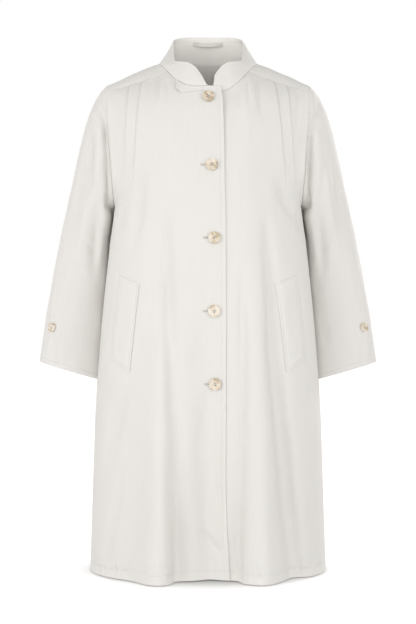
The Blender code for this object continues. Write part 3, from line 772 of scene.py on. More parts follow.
    def find_on_front(self, hand: Hand, x: Array, z: Array) -> tuple:
        """Finds the points of a front that lie at x and z, by repeated small moves.

        Args:
            hand: the wearer's side.
            x: places across the coat.
            z: places up the coat.

        Returns:
            Their shares across and up.
        """
        half_width = SIDES[0].half_width
        xi, v = np.broadcast_arrays(np.abs(x) / half_width, (z - self.hem_z) / -self.hem_z)
        for _ in range(self.search_rounds):
            at = self.panel(hand, xi, v, Facing.FRONT)
            xi = xi + hand * (x - at[..., 0]) / half_width
            v = np.clip(v + (z - at[..., 2]) / -self.hem_z, 0, 1)
        return xi, v

    def yoke(self, hand: Hand, along: Array, over: Array) -> Array:
        """Gives outer points of a yoke.

        Args:
            hand: the wearer's side.
            along: 0 at the neck and 1 at the armhole.
            over: 0 at the front seam and 1 at the back seam.

        Returns:
            The points.
        """
        c, r = np.broadcast_arrays(np.clip(along, 0, 1), np.clip(over, 0, 1))
        at = NECK_FRONT + r * (NECK_BACK - NECK_FRONT)
        neck = np.stack([smooth(at, range(len(NECK)), column) for column in zip(*NECK)], -1)
        arm = np.stack(self.armhole(self.yoke_angle * (1 - 2 * r)), -1)
        front, back = self.yoke_seam(c, Facing.FRONT), self.yoke_seam(c, Facing.BACK)
        corners = [self.yoke_seam(np.array(end), facing) for end in (0.0, 1.0) for facing in Facing]
        c, r = c[..., None], r[..., None]
        flat = (1 - c) * ((1 - r) * corners[0] + r * corners[1]) + c * ((1 - r) * corners[2] + r * corners[3])
        points = (1 - c) * neck + c * arm + (1 - r) * front + r * back - flat
        points = points + np.array([0, 0, self.yoke_crown]) * 16 * c * (1 - c) * r * (1 - r)
        return points * np.array([hand, 1, 1])

    def sleeve(self, hand: Hand, turn: Array, s: Array) -> Array:
        """Gives outer points of a sleeve.

        Args:
            hand: the wearer's side.
            turn: degrees from its outer line towards the front.
            s: 0 at the armhole and 1 at the cuff.

        Returns:
            The points.
        """
        x, y, z, rise, deep = self.oval(turn, self.ring(s))
        height = fold_height(SLEEVE_FOLDS, turn, s)
        x, y = x + height * self.sleeve_fold_spread * rise, y - height * deep
        return np.stack([hand * (x + self.arm_gap), y, z], -1)


FORM = CoatForm()
RIPPLE = Ripple()
STITCHED = StitchedLine()


DIAGONAL_WAVE = 2 * math.pi / (10 * math.sqrt(2))  # scale of a wave whose diagonal bands lie a unit apart
RANGE_NAMES = ("From Min", "From Max", "To Min", "To Max")


def linear(code: str) -> tuple:
    """Turns an sRGB hex colour such as E9E6E0 into linear red, green, blue and alpha."""
    parts = [int(code[i : i + 2], 16) / 255 for i in (0, 2, 4)]
    return (*(c / 12.92 if c <= 0.04045 else ((c + 0.055) / 1.055) ** 2.4 for c in parts), 1.0)


def fill_inputs(tree: bpy.types.NodeTree, node: bpy.types.Node, inputs: dict) -> None:
    """Sets or links the inputs of a node.

    Args:
        tree: the node tree.
        node: the node.
        inputs: a value, a socket or a node to link from, for each named or numbered input.
    """
    for name, value in inputs.items():
        if isinstance(value, bpy.types.Node):
            value = next(socket for socket in value.outputs if not socket.is_unavailable)
        if isinstance(value, bpy.types.NodeSocket):
            tree.links.new(value, node.inputs[name])
        else:
            node.inputs[name].default_value = value


def add_node(tree: bpy.types.NodeTree, kind: str, inputs: dict, **settings: object) -> bpy.types.Node:
    """Adds a node with its settings, values and links.

    Args:
        tree: the node tree.
        kind: the node's type, after the words that all have.
        inputs: what fill_inputs takes.
        settings: the node's own properties.

    Returns:
        The node.
    """
    node = tree.nodes.new("ShaderNode" + kind)
    for name, value in settings.items():
        setattr(node, name, value)
    fill_inputs(tree, node, inputs)
    return node


def new_material(name: str) -> tuple:
    """Starts a material.

    Args:
        name: the real material.

    Returns:
        The material, its node tree and its shader.
    """
    material = bpy.data.materials.new(name)
    material.use_nodes = True
    return material, material.node_tree, material.node_tree.nodes["Principled BSDF"]


@dataclass(frozen=True)
class GabardineFinish:
    """Cotton gabardine: a close steep twill, smooth and matt, with a faint bloom in grazing light."""

    light: str = "DDDBD7"
    deep: str = "D4D1CD"
    rubbed: str = "E5E2DE"
    inside: str = "F1EEE9"  # painted light: the inside faces are painted lighter, which lifts the shade there
    bloom: str = "F4F0E8"
    twill_pitch: float = 5.2  # the real one is about 0.6 mm, drawn coarser so that it shows
    twill_turn: float = 18.0
    twill_waver: float = 1.2
    twill_share: float = 0.08
    twill_height: float = 0.045
    slub_size: tuple = (3.0, 55.0)
    tone_size: float = 240.0
    tone_share: float = 0.4
    fibre_size: float = 1.6
    fibre_height: float = 0.12
    rub_share: float = 0.2
    roughness: tuple = (0.78, 0.9)
    sheen: float = 0.12
    sheen_roughness: float = 0.55

    def make(self) -> Material:
        """Makes the cloth's material, on the piece's own UV map in metres.

        Returns:
            The material.
        """
        material, tree, shader = new_material("cotton_gabardine")
        uv = add_node(tree, "UVMap", {}, uv_map="cloth")
        place = add_node(tree, "TexCoord", {}).outputs["Object"]
        rotation = (0, 0, math.radians(self.twill_turn))
        turned = add_node(tree, "Mapping", {"Vector": uv, "Rotation": rotation})
        bands = {"Vector": turned, "Scale": DIAGONAL_WAVE / (self.twill_pitch * MM)}
        bands.update({"Distortion": self.twill_waver, "Detail": 1.0, "Detail Scale": 1.5})
        twill = add_node(tree, "TexWave", bands, bands_direction="DIAGONAL").outputs["Fac"]
        stretch = (*(1 / (size * MM) for size in self.slub_size), 1)
        stretched = add_node(tree, "Mapping", {"Vector": uv, "Scale": stretch})
        slub = add_node(tree, "TexNoise", {"Vector": stretched, "Scale": 1.0, "Detail": 3.0})
        spots = {"Vector": place, "Scale": 1 / (self.tone_size * MM), "Detail": 2.0}
        tone = add_node(tree, "TexNoise", spots)
        fuzz = {"Vector": uv, "Scale": 1 / (self.fibre_size * MM), "Detail": 2.0}
        fibre = add_node(tree, "TexNoise", fuzz)
        woven = add_node(tree, "Mix", {"Factor": self.twill_share, "A": slub, "B": twill})
        uneven = add_node(tree, "Mix", {"Factor": self.tone_share, "A": woven, "B": tone})
        rub = add_node(tree, "Attribute", {}, attribute_name="rub").outputs["Fac"]
        soft = add_node(tree, "Math", {0: rub, 1: self.rub_share}, operation="MULTIPLY")
        # painted light: the cloth's inside faces are painted lighter, lifting the shade on them
        painted_inside_light = add_node(tree, "Attribute", {}, attribute_name="inside").outputs["Fac"]
        colour = linear(self.deep)
        for share, code in ((uneven, self.light), (soft, self.rubbed), (painted_inside_light, self.inside)):
            mix = {"Factor": share, "A": colour, "B": linear(code)}
            colour = add_node(tree, "Mix", mix, data_type="RGBA")
        low, high = self.roughness
        rough = add_node(tree, "MapRange", {"Value": fibre, "To Min": low, "To Max": high})
        nap = {"Height": fibre, "Strength": 0.5, "Distance": self.fibre_height * MM}
        ribs = {"Height": twill, "Strength": 0.6, "Distance": self.twill_height * MM}
        ribs["Normal"] = add_node(tree, "Bump", nap)
        relief = add_node(tree, "Bump", ribs)
        fill_inputs(tree, shader, {"Base Color": colour, "Roughness": rough, "Normal": relief})
        fill_inputs(tree, shader, {"IOR": 1.46, "Specular IOR Level": 0.25, "Sheen Weight": self.sheen})
        fill_inputs(tree, shader, {"Sheen Roughness": self.sheen_roughness, "Sheen Tint": linear(self.bloom)})
        return material


@dataclass(frozen=True)
class HornFinish:
    """Polished horn: clouded cream and tan with brown streaks, under a soft gloss."""

    stops: tuple = ((0.36, "B0A289"), (0.47, "CFC2AD"), (0.61, "DBD3C6"))
    cloud_size: float = 15.0
    streak_size: float = 7.0
    streak_scale: float = 0.314  # puts the bands about a streak's size apart
    streak_share: float = 0.12
    streak_height: float = 0.05
    roughness: tuple = (0.42, 0.52)
    gloss: float = 0.06
    gloss_roughness: float = 0.15

    def make(self) -> Material:
        """Makes the buttons' material.

        Returns:
            The material.
        """
        material, tree, shader = new_material("polished_horn")
        place = add_node(tree, "TexCoord", {}).outputs["Object"]
        spots = {"Vector": place, "Scale": 1 / (self.cloud_size * MM), "Detail": 4.0, "Distortion": 0.6}
        cloud = add_node(tree, "TexNoise", spots)
        bands = {"Vector": place, "Scale": self.streak_scale / (self.streak_size * MM)}
        bands.update({"Distortion": 9.0, "Detail": 3.0})
        streak = add_node(tree, "TexWave", bands, bands_direction="DIAGONAL")
        clouded = add_node(tree, "ValToRGB", {"Fac": cloud})
        ramp = clouded.color_ramp.elements
        while len(ramp) < len(self.stops):
            ramp.new(0.5)
        for element, (at, code) in zip(ramp, self.stops):
            element.position = at
            element.color = linear(code)
        mix = {"Factor": self.streak_share, "A": clouded, "B": streak}
        colour = add_node(tree, "Mix", mix, data_type="RGBA", blend_type="SOFT_LIGHT")
        low, high = self.roughness
        rough = add_node(tree, "MapRange", {"Value": cloud, "To Min": low, "To Max": high})
        relief = {"Height": streak.outputs["Fac"], "Strength": 0.12, "Distance": self.streak_height * MM}
        grain = add_node(tree, "Bump", relief)
        fill_inputs(tree, shader, {"Base Color": colour, "Roughness": rough, "Normal": grain, "IOR": 1.54})
        fill_inputs(tree, shader, {"Coat Weight": self.gloss, "Coat Roughness": self.gloss_roughness})
        return material


@dataclass(frozen=True)
class ThreadFinish:
    """Twisted cotton thread: a soft lustre, in the cloth's own tone."""

    light: str = "E2DFD8"
    deep: str = "D2CEC6"
    ply: float = 0.5
    ply_scale: float = 0.444  # puts the bands about a ply apart
    ply_height: float = 0.1
    roughness: tuple = (0.75, 0.6)
    sheen: float = 0.2

    def make(self) -> Material:
        """Makes the thread's material.

        Returns:
            The material.
        """
        material, tree, shader = new_material("cotton_thread")
        place = add_node(tree, "TexCoord", {}).outputs["Object"]
        bands = {"Vector": place, "Scale": self.ply_scale / (self.ply * MM), "Distortion": 2.0}
        twist = add_node(tree, "TexWave", bands, bands_direction="DIAGONAL").outputs["Fac"]
        mix = {"Factor": twist, "A": linear(self.deep), "B": linear(self.light)}
        colour = add_node(tree, "Mix", mix, data_type="RGBA")
        low, high = self.roughness
        rough = add_node(tree, "MapRange", {"Value": twist, "To Min": low, "To Max": high})
        relief = {"Height": twist, "Strength": 0.4, "Distance": self.ply_height * MM}
        plies = add_node(tree, "Bump", relief)
        fill_inputs(tree, shader, {"Base Color": colour, "Roughness": rough, "Normal": plies})
        fill_inputs(tree, shader, {"Sheen Weight": self.sheen})
        return material


@dataclass(frozen=True)
class FloorFinish:
    """Matt white floor paint: a slight mottle, a soft shade under the coat and a glow farther out."""

    light: str = "F7F7F6"
    deep: str = "F1F1F0"
    shade: str = "B4B4B3"
    mottle: float = 120.0
    glow: tuple = (0.02, 0.4)
    foot: tuple = (215.0, 165.0)
    shade_reach: tuple = (0.7, 1.3)
    glow_reach: tuple = (0.6, 2.0)

    def make(self) -> Material:
        """Makes the floor's material.

        Returns:
            The material.
        """
        material, tree, shader = new_material("matt_white_paint")
        place = add_node(tree, "TexCoord", {}).outputs["Object"]
        mottle = add_node(tree, "TexNoise", {"Vector": place, "Scale": 1 / (self.mottle * MM)})
        wide, deep = (1 / (half * MM) for half in self.foot)
        oval = add_node(tree, "Mapping", {"Vector": place, "Scale": (wide, deep, 0)})
        away = add_node(tree, "VectorMath", {0: oval}, operation="LENGTH")
        near = {"Value": away, **dict(zip(RANGE_NAMES, (*self.shade_reach, 1.0, 0.0)))}
        shadow = add_node(tree, "MapRange", near, interpolation_type="SMOOTHSTEP")
        colour = linear(self.deep)
        for share, code in ((mottle, self.light), (shadow, self.shade)):
            mix = {"Factor": share, "A": colour, "B": linear(code)}
            colour = add_node(tree, "Mix", mix, data_type="RGBA")
        far = {"Value": away, **dict(zip(RANGE_NAMES, (*self.glow_reach, *self.glow)))}
        glow = add_node(tree, "MapRange", far)
        fill_inputs(tree, shader, {"Base Color": colour, "Roughness": 0.9, "Specular IOR Level": 0.1})
        fill_inputs(tree, shader, {"Emission Color": (1, 1, 1, 1), "Emission Strength": glow})
        return material


@dataclass
class Finishes:
    """The materials that the pieces share."""

    cloth: Material = field(default_factory=GabardineFinish().make)
    horn: Material = field(default_factory=HornFinish().make)
    thread: Material = field(default_factory=ThreadFinish().make)


def link_mesh(name: str, mesh: Mesh, material: Material) -> Piece:
    """Puts a mesh in the scene as a piece that rides on the coat.

    Args:
        name: the piece's name.
        mesh: its mesh.
        material: its finish.

    Returns:
        The piece.
    """
    obj = bpy.data.objects.new(name, mesh)
    bpy.context.scene.collection.objects.link(obj)
    mesh.materials.clear()
    mesh.materials.append(material)
    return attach(obj, BODY)


def mesh_from(name: str, points: Array, faces: Array) -> Mesh:
    """Makes a smooth mesh of a closed shape, its faces turned outwards.

    Args:
        name: the mesh's name.
        points: its corners in millimetres.
        faces: four places among them for each face.

    Returns:
        The mesh.
    """
    a, b, c, d = (points[faces[:, k]] for k in range(4))
    volume = np.einsum("ij,ij->", a, np.cross(b, c)) + np.einsum("ij,ij->", a, np.cross(c, d))
    faces = faces if volume > 0 else faces[:, ::-1]
    mesh = bpy.data.meshes.new(name)
    mesh.from_pydata((points * MM).tolist(), [], faces.tolist())
    mesh.shade_smooth()
    return mesh


class Run(NamedTuple):
    """A run of stitches: their middles, the ways that they run and face, and their lengths."""

    middle: Array
    ahead: Array
    facing: Array
    length: Array


@dataclass(frozen=True)
class Thread:
    """Sewing thread, and the stitches that it makes."""

    length: float = 2.4
    pitch: float = 3.2
    radius: float = 0.36
    sides: int = 6
    ends: tuple = (-0.5, -0.33, 0.33, 0.5)
    lift: tuple = (-0.7, 0.45, 0.45, -0.7)
    cap: tuple = ((0, 3, 2, 1), (0, 5, 4, 3))

    def along(self, path: Array, out: Array) -> Run:
        """Spaces stitches along a path.

        Args:
            path: points of the path on the cloth.
            out: the directions that the cloth faces there.

        Returns:
            The stitches.
        """
        way = way_along(path)
        at = np.arange(self.pitch / 2, way[-1], self.pitch)
        half = self.length / 2
        ahead = unit(read_path(at + half, way, path) - read_path(at - half, way, path))
        facing = unit(read_path(at, way, out))
        return Run(read_path(at, way, path), ahead, facing, np.full(len(at), self.length))

    def sew(self, name: str, runs: Sequence[Run], material: Material) -> Piece:
        """Makes one piece of all the stitches of some runs.

        Args:
            name: the piece's name.
            runs: the stitches.
            material: the thread's finish.

        Returns:
            The piece.
        """
        middle, ahead, facing, length = (np.concatenate(column) for column in zip(*runs))
        across = unit(np.cross(ahead, facing))
        turn = np.linspace(0, 2 * np.pi, self.sides, endpoint=False)
        ring = np.cos(turn)[:, None] * across[:, None] + np.sin(turn)[:, None] * facing[:, None]
        rings = []
        for end, lift in zip(self.ends, self.lift):
            centre = middle + ahead * (end * length)[:, None] + facing * (lift * self.radius)
            rings.append(centre[:, None] + ring * self.radius)
        points = np.stack(rings, 1).reshape(-1, 3)
        index = np.arange(len(self.ends) * self.sides).reshape(len(self.ends), self.sides)
        after = np.roll(index, -1, 1)
        tube = np.stack([index[:-1], after[:-1], after[1:], index[1:]], -1).reshape(-1, 4)
        cap = np.array(self.cap)
        shape = np.concatenate([tube, cap, cap[:, ::-1] + index[-1, 0]])
        faces = (shape[None] + (np.arange(len(middle)) * index.size)[:, None, None]).reshape(-1, 4)
        obj = link_mesh(name, mesh_from(name, points, faces), material)
        log.info("%s: %d stitches", name, len(middle))
        return obj


THREAD = Thread()


@dataclass
class Cloth:
    """A cut piece of cloth, as a grid of outer points and the directions that they face."""

    node: str
    points: Array
    out: Array
    wall: float = FORM.wall
    seam_gap: float = 0.05
    seams: tuple = ()
    seam_roll: float = 0.2
    roll_turns: tuple = (60.0, 20.0, -20.0, -60.0)
    rub_reach: float = 5.0
    # share of painted light on the inner faces, lifting their shade
    inner_share: float = 0.8

    def lengths(self) -> tuple:
        """Measures the way along the cloth.

        Returns:
            Each point's way from the first column, and from the first row.
        """
        ways = []
        for axis in (0, 1):
            step = np.linalg.norm(np.diff(self.points, axis=axis), axis=-1)
            start = np.zeros_like(self.points[:1, :, 0] if axis == 0 else self.points[:, :1, 0])
            ways.append(np.concatenate([start, np.cumsum(step, axis=axis)], axis=axis))
        return tuple(ways)

    def flat(self) -> tuple:
        """Measures the cut by the way along the cloth.

        Returns:
            Its width, length and area in metres.
        """
        across, along = self.lengths()
        falling = self.points[1:, 1:] - self.points[:-1, :-1]
        rising = self.points[:-1, 1:] - self.points[1:, :-1]
        area = np.linalg.norm(np.cross(falling, rising), axis=-1).sum() / 2
        return float(across[-1].max() * MM), float(along[:, -1].max() * MM), float(area * MM * MM)

    def rim(self) -> tuple:
        """Follows the border of the cloth.

        Returns:
            The border's places in the grid, in order, and the ways that lead off the cloth there.
        """
        n, m = self.points.shape[:2]
        index = np.arange(n * m).reshape(n, m)
        rim = np.concatenate([index[:, 0], index[-1, 1:], index[-2::-1, -1], index[0, -2:0:-1]])
        points, out = self.points.reshape(-1, 3), self.out.reshape(-1, 3)
        tangent = np.roll(points[rim], -1, 0) - np.roll(points[rim], 1, 0)
        off = unit(np.cross(tangent, out[rim]))
        away = (off * (points[rim] - points.mean(0))).sum()
        return rim, off if away > 0 else -off

    def rolls(self) -> Array:
        """Sizes the roll of the edge, less where it is sewn.

        Returns:
            How far the roll reaches at each point of the border.
        """
        n, m = self.points.shape[:2]
        counts = {Edge.FIRST_ROW: n, Edge.LAST_COLUMN: m - 1, Edge.LAST_ROW: n - 1, Edge.FIRST_COLUMN: m - 2}
        sizes = {edge: self.seam_roll if edge in self.seams else self.wall / 2 for edge in counts}
        return np.concatenate([np.full(count, sizes[edge]) for edge, count in counts.items()])[:, None]

    def build(self, material: Material) -> Piece:
        """Builds the closed wall, its edges rolled over.

        Args:
            material: the cloth's finish.

        Returns:
            The piece.
        """
        n, m = self.points.shape[:2]
        index = np.arange(n * m).reshape(n, m)
        quads = np.stack([index[:-1, :-1], index[1:, :-1], index[1:, 1:], index[:-1, 1:]], -1).reshape(-1, 4)
        rim, off = self.rim()
        radius, reach = self.wall / 2, self.rolls()
        outer, out = self.points.reshape(-1, 3).copy(), self.out.reshape(-1, 3)
        outer[rim] -= off * (reach + self.seam_gap / 2)
        middle = outer[rim] - out[rim] * radius
        rolls, loops = [], [rim]
        for k, turn in enumerate(self.roll_turns):
            cos, sin = math.cos(math.radians(turn)), math.sin(math.radians(turn))
            rolls.append(middle + cos * reach * off + sin * radius * out[rim])
            loops.append(2 * n * m + k * len(rim) + np.arange(len(rim)))
        loops.append(rim + n * m)
        points = np.concatenate([outer, outer - out * self.wall, *rolls])
        strips = [np.stack([np.roll(a, -1), a, b, np.roll(b, -1)], -1) for a, b in zip(loops, loops[1:])]
        name = self.node + "_cloth"
        mesh = mesh_from(name, points, np.concatenate([quads, quads[:, ::-1] + n * m, *strips]))
        self.dress(mesh, rim)
        return link_mesh(name, mesh, material)

    def dress(self, mesh: Mesh, rim: Array) -> None:
        """Lays the cloth's own map, in metres, and marks where its edges are rubbed and its inside, which the
        finish paints lighter as painted light.

        Args:
            mesh: the closed wall.
            rim: the border's places in the grid.
        """
        across, along = self.lengths()
        edge = np.minimum(np.minimum(across, across[-1:] - across), np.minimum(along, along[:, -1:] - along))
        flat = np.stack([across, along], -1).reshape(-1, 2) * MM
        places = np.concatenate([flat, flat] + [flat[rim]] * len(self.roll_turns))
        corner = np.zeros(len(mesh.loops), np.int32)
        mesh.loops.foreach_get("vertex_index", corner)
        mesh.uv_layers.new(name="cloth").data.foreach_set("uv", places[corner].astype(np.float32).ravel())
        rub = np.exp(-edge.ravel() / self.rub_reach)
        rub = np.concatenate([rub, rub] + [rub[rim]] * len(self.roll_turns))
        counts = [edge.size, edge.size, len(rim) * len(self.roll_turns)]
        # the inner faces get a share of painted light, which lifts their shade
        inside = np.repeat([0.0, self.inner_share, 0.0], counts)
        for name, values in (("rub", rub), ("inside", inside)):
            marks = mesh.attributes.new(name, "FLOAT", "POINT")
            marks.data.foreach_set("value", values.astype(np.float32))

    def make(self, finishes: Finishes, on: Sequence[str], runs: Sequence[Run]) -> None:
        """Builds and sews the piece, hides the solid that it stands for and logs what it was cut to.

        Args:
            finishes: the materials.
            on: the nodes whose cloth it hangs from or lies on; not used.
            runs: its stitches.
        """
        obj = self.build(finishes.cloth)
        sewing = [THREAD.sew(self.node + "_stitches", runs, finishes.thread)] if runs else []
        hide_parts(self.node)
        width, length, area = self.flat()
        length = max(length, LEAST_FLAT)
        log.info("%s: %.0f by %.0f mm, %d faces", obj.name, width / MM, length / MM, len(obj.data.polygons))


@dataclass(frozen=True)
class ButtonSeat:
    """Where a button's solid sits: the middle of its back, the way it faces, its radius and its height."""

    at: Array
    out: Array
    radius: float
    tall: float

    @staticmethod
    @cache
    def of(node: str) -> "ButtonSeat":
        """Reads the seat from a button's solid.

        Args:
            node: the solid.

        Returns:
            The seat.
        """
        points = np.array([vertex.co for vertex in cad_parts[node].data.vertices]) / MM
        middle = (points.min(0) + points.max(0)) / 2
        _, _, axes = np.linalg.svd(points - points.mean(0), full_matrices=False)
        out = axes[-1] * (-1 if axes[-1] @ np.array([0, -1, 0]) < 0 else 1)
        up = (points - middle) @ out
        flat = points - middle - up[:, None] * out
        radius = float(np.linalg.norm(flat - flat.mean(0), axis=1).max())
        return ButtonSeat(middle + flat.mean(0) + out * up.min(), out, radius, float(np.ptp(up)))


@dataclass
class Panel:
    """What the fronts and the back share: their rows, their columns and their hem."""

    finishes: Finishes
    hem_stitch: float = 18.0
    hem_pull: float = 0.45
    hem_steps: tuple = (0, 1.2, 2.6, 5, 9, 13, 15.6, 17, 18, 19, 20.4, 23, 27, 32)
    low_rows: int = 150
    high_rows: int = 70
    calm_reach: float = 12.0
    pucker_seed: int = 11
    pucker_spans: tuple = ()
    pucker_spacing: tuple = (6, 15)
    pucker_depth: tuple = (1.8, 4.2)
    pucker_reach: tuple = (9, 17)
    pucker_lean: float = 0.12
    pucker_width: float = 3.0
    pucker_level: float = 0.9
    pucker_calm: float = 10.0

    def rows(self) -> Array:
        """Spreads the rows, closer together at the hem's stitches.

        Returns:
            Shares up.
        """
        hem = np.array(self.hem_steps) / FORM.side_length * FORM.underarm_v
        low = np.linspace(hem[-1], FORM.underarm_v, self.low_rows + 1)[1:]
        return np.concatenate([hem, low, np.linspace(FORM.underarm_v, 1, self.high_rows + 1)[1:]])

    def hem_row(self, count: int) -> Array:
        """Gives the row of the hem's stitches, as often as asked."""
        return np.full(count, self.hem_stitch / FORM.side_length * FORM.underarm_v)

    def shares(self, v: Array, hand: Hand, tuck_steps: Sequence[float]) -> Array:
        """Gives the columns from the centre line to the side as shares of the half width.

        Args:
            v: the rows.
            hand: the wearer's side.
            tuck_steps: distances from each tuck's edge of the columns beside it.

        Returns:
            A share for each column and row.
        """
        columns, lines = [], guides(hand)
        for i, (guide, after) in enumerate(zip(lines, lines[1:])):
            for k in range(guide.columns):
                place = [a + k / guide.columns * (b - a) for a, b in zip(guide[:3], after[:3])]
                shifts = tuck_steps if k == 0 and i in TUCK_GUIDES else (0,)
                columns += [(place, shift) for shift in shifts]
        columns.append(((1, 1, 1), 0))
        knots, half_width = (0, FORM.underarm_v, 1), FORM.half_width(v)
        return np.stack([smooth(v, knots, place) + shift / half_width for place, shift in columns])

    def hemmed(self, height: Array, base: Array, from_side: Array) -> Array:
        """Adds the hem's stitched groove, and the puckers that it draws up unevenly.

        Args:
            height: how far the cloth stands off its form.
            base: the form's points there.
            from_side: distances from the side seam.

        Returns:
            The heights with the hem's.
        """
        x, from_hem = base[..., 0], base[..., 2] - FORM.hem_z
        draw = np.random.default_rng(self.pucker_seed)
        puckers = np.zeros(np.broadcast(x, from_hem).shape)
        level = self.hem_stitch * self.pucker_level
        for low, high in self.pucker_spans:
            at = low
            while at < high:
                depth, reach = draw.uniform(*self.pucker_depth), draw.uniform(*self.pucker_reach)
                line = at + draw.uniform(-self.pucker_lean, self.pucker_lean) * (from_hem - self.hem_stitch)
                pucker = depth * swell(x - line, self.pucker_width)
                puckers = puckers - pucker * swell(from_hem - level, reach)
                at += draw.uniform(*self.pucker_spacing)
        height = height + self.hem_pull * STITCHED.read(from_hem - self.hem_stitch, x)
        return height + puckers * ease(0, self.pucker_calm, from_side)


@dataclass
class Front(Panel):
    """A front: its lap, tucks, gathers and stitched edges."""

    hand: Hand = Hand.RIGHT
    lap_stitch: float = 8.0
    lap_pull: float = 0.6
    lap_steps: tuple = (0, 1.2, 2.6, 5, 6.9, 8, 9.1, 11, 14)
    lap_columns: int = 6
    lap_span: tuple = (0.004, 0.997)
    lap_points: int = 900
    hem_inset: float = 4.0
    hem_points: int = 400
    tuck_steps: tuple = (-1.7, -1.0, -0.45, 0.0, 0.45, 1.0, 1.7)
    tuck_height: float = 2.1
    tuck_slope: float = 24.0
    tuck_edge: tuple = (-0.7, 0.5)
    tuck_groove: float = 1.3
    tuck_groove_at: float = 1.2
    tuck_groove_width: float = 0.9
    tuck_ends: tuple = (-290.0, -215.0)
    hole_length: float = 25.0
    hole_reach: float = 3.0
    hole_steps: tuple = (-2.4, -1.3, -0.6, 0.0, 0.6, 1.3, 2.4)
    hole_edge: float = 0.6
    hole_depth: float = 0.8
    hole_width: float = 0.75
    purl_pitch: float = 0.9
    purl_length: float = 2.2
    purl_inset: float = 0.5
    flat_round_button: float = 24.0
    least_row: float = 2e-4
    pucker_spans: tuple = ((-236, -150), (-72, -50), (62, 104), (168, 238))

    def reach(self, v: Array) -> Array:
        """Gives how far the front runs past the centre at each row."""
        edge_z = FORM.panel_edge(v, Facing.FRONT)[2]
        return read(LAP, "z", "x", edge_z) if self.hand is Hand.RIGHT else np.full_like(v, FORM.under_lap_x)

    def base(self, xi: Array, v: Array) -> Array:
        """Gives the front's form without its finer heights."""
        return FORM.panel(self.hand, xi, v, Facing.FRONT)

    def holes(self) -> list:
        """Places the holes of the buttons below the top one, each running out from under its button's shank.

        Returns:
            The x and z of each one's middle.
        """
        if self.hand is Hand.LEFT:
            return []
        seats = [ButtonSeat.of(node) for node in FRONT_BUTTONS[1:]]
        return [(seat.at[0] + self.hole_reach - self.hole_length / 2, seat.at[2]) for seat in seats]

    def tucks(self, xi: Array, v: Array, z: Array) -> Array:
        """Gives the tucks: each rises to its folded edge and drops behind it.

        Args:
            xi: shares across.
            v: shares up.
            z: heights, for where the tucks end.

        Returns:
            The height at each place.
        """
        half_width = FORM.half_width(v)
        total = np.zeros(np.broadcast(xi, v).shape)
        for i in TUCK_GUIDES:
            inside = (smooth(v, (0, FORM.underarm_v, 1), guides(self.hand)[i][:3]) - xi) * half_width
            rise = np.clip(1 - np.maximum(inside, 0) / self.tuck_slope, 0, 1) * ease(*self.tuck_edge, inside)
            groove = self.tuck_groove * swell(inside + self.tuck_groove_at, self.tuck_groove_width)
            total = total + self.tuck_height * rise - groove
        return total * ease(*self.tuck_ends, z)

    def height(self, xi: Array, v: Array, base: Array) -> Array:
        """Gives how far the cloth stands off its form.

        Args:
            xi: shares across.
            v: shares up.
            base: the form's points there.

        Returns:
            The heights.
        """
        x, z = base[..., 0], base[..., 2]
        half_width = FORM.half_width(v)
        from_top = FORM.panel_top(self.hand, xi, Facing.FRONT)[1] - z
        from_side = (1 - np.abs(xi)) * half_width
        calm = ease(0, self.calm_reach, from_side)
        for node in FRONT_BUTTONS:
            seat = ButtonSeat.of(node).at
            calm = calm * (1 - swell(np.hypot(x - seat[0], z - seat[2]), self.flat_round_button))
        soft = creased(FRONT_CREASES, x, z) + RIPPLE.read(x, z) * ease(0, self.calm_reach, from_top)
        total = self.hemmed(calm * soft + self.tucks(xi, v, z), base, from_side)
        if self.hand is Hand.RIGHT:
            from_edge = xi * half_width + self.reach(v)
            total = total + self.lap_pull * STITCHED.read(from_edge - self.lap_stitch, z)
        for hole_x, hole_z in self.holes():
            inside = ease(-self.hole_edge, self.hole_edge, self.hole_length / 2 - np.abs(x - hole_x))
            total = total - inside * FORM.wall * self.hole_depth * swell(z - hole_z, self.hole_width)
        return total

    def surface(self, xi: Array, v: Array) -> tuple:
        """Gives the finished cloth.

        Args:
            xi: shares across.
            v: shares up.

        Returns:
            Its points, and the directions that its form faces.
        """
        base = self.base(xi, v)
        out = facing_out(self.base, xi, v, self.hand)
        return base + out * self.height(xi, v, base)[..., None], out

    def hole_rows(self) -> Array:
        """Places extra rows beside each buttonhole.

        Returns:
            Shares up.
        """
        places = [(x, z + step) for x, z in self.holes() for step in self.hole_steps]
        x, z = np.array(places).reshape(-1, 2).T
        return FORM.find_on_front(self.hand, x, z)[1] if places else x

    def build(self) -> None:
        """Builds the front and its stitches."""
        v = np.unique(np.concatenate([self.rows(), self.hole_rows()]))
        v = v[np.concatenate([[True], np.diff(v) > self.least_row])]
        reach, last = self.reach(v), self.lap_steps[-1]
        steps = [np.full_like(v, step) for step in self.lap_steps]
        spread = np.linspace(0, 1, self.lap_columns + 1)[1:-1]
        steps += [last + share * (reach - last) for share in spread]
        lap = np.stack([(step - reach) / FORM.half_width(v) for step in steps])
        grid = self.surface(np.concatenate([lap, self.shares(v, self.hand, self.tuck_steps)]), v)
        cloth = Cloth(f"front_{self.hand.label}", *grid, seams=(Edge.LAST_COLUMN, Edge.LAST_ROW))
        cloth.make(self.finishes, [f"shoulder_yoke_{self.hand.label}"], self.stitches())

    def stitches(self) -> list:
        """Sews the hem and, on the right, the lap's edge and the purl round each buttonhole.

        Returns:
            The runs of stitches.
        """
        v = self.hem_row(self.hem_points)
        half_width = FORM.half_width(v)
        first, last = (self.hem_inset - self.reach(v)) / half_width, 1 - self.hem_inset / half_width
        runs = [THREAD.along(*self.surface(first + np.linspace(0, 1, len(v)) * (last - first), v))]
        if self.hand is Hand.RIGHT:
            v = np.linspace(*self.lap_span, self.lap_points)
            edge = (self.lap_stitch - self.reach(v)) / FORM.half_width(v)
            runs.append(THREAD.along(*self.surface(edge, v)))
        return runs + [self.purl(*hole, way) for hole in self.holes() for way in (-1, 1)]

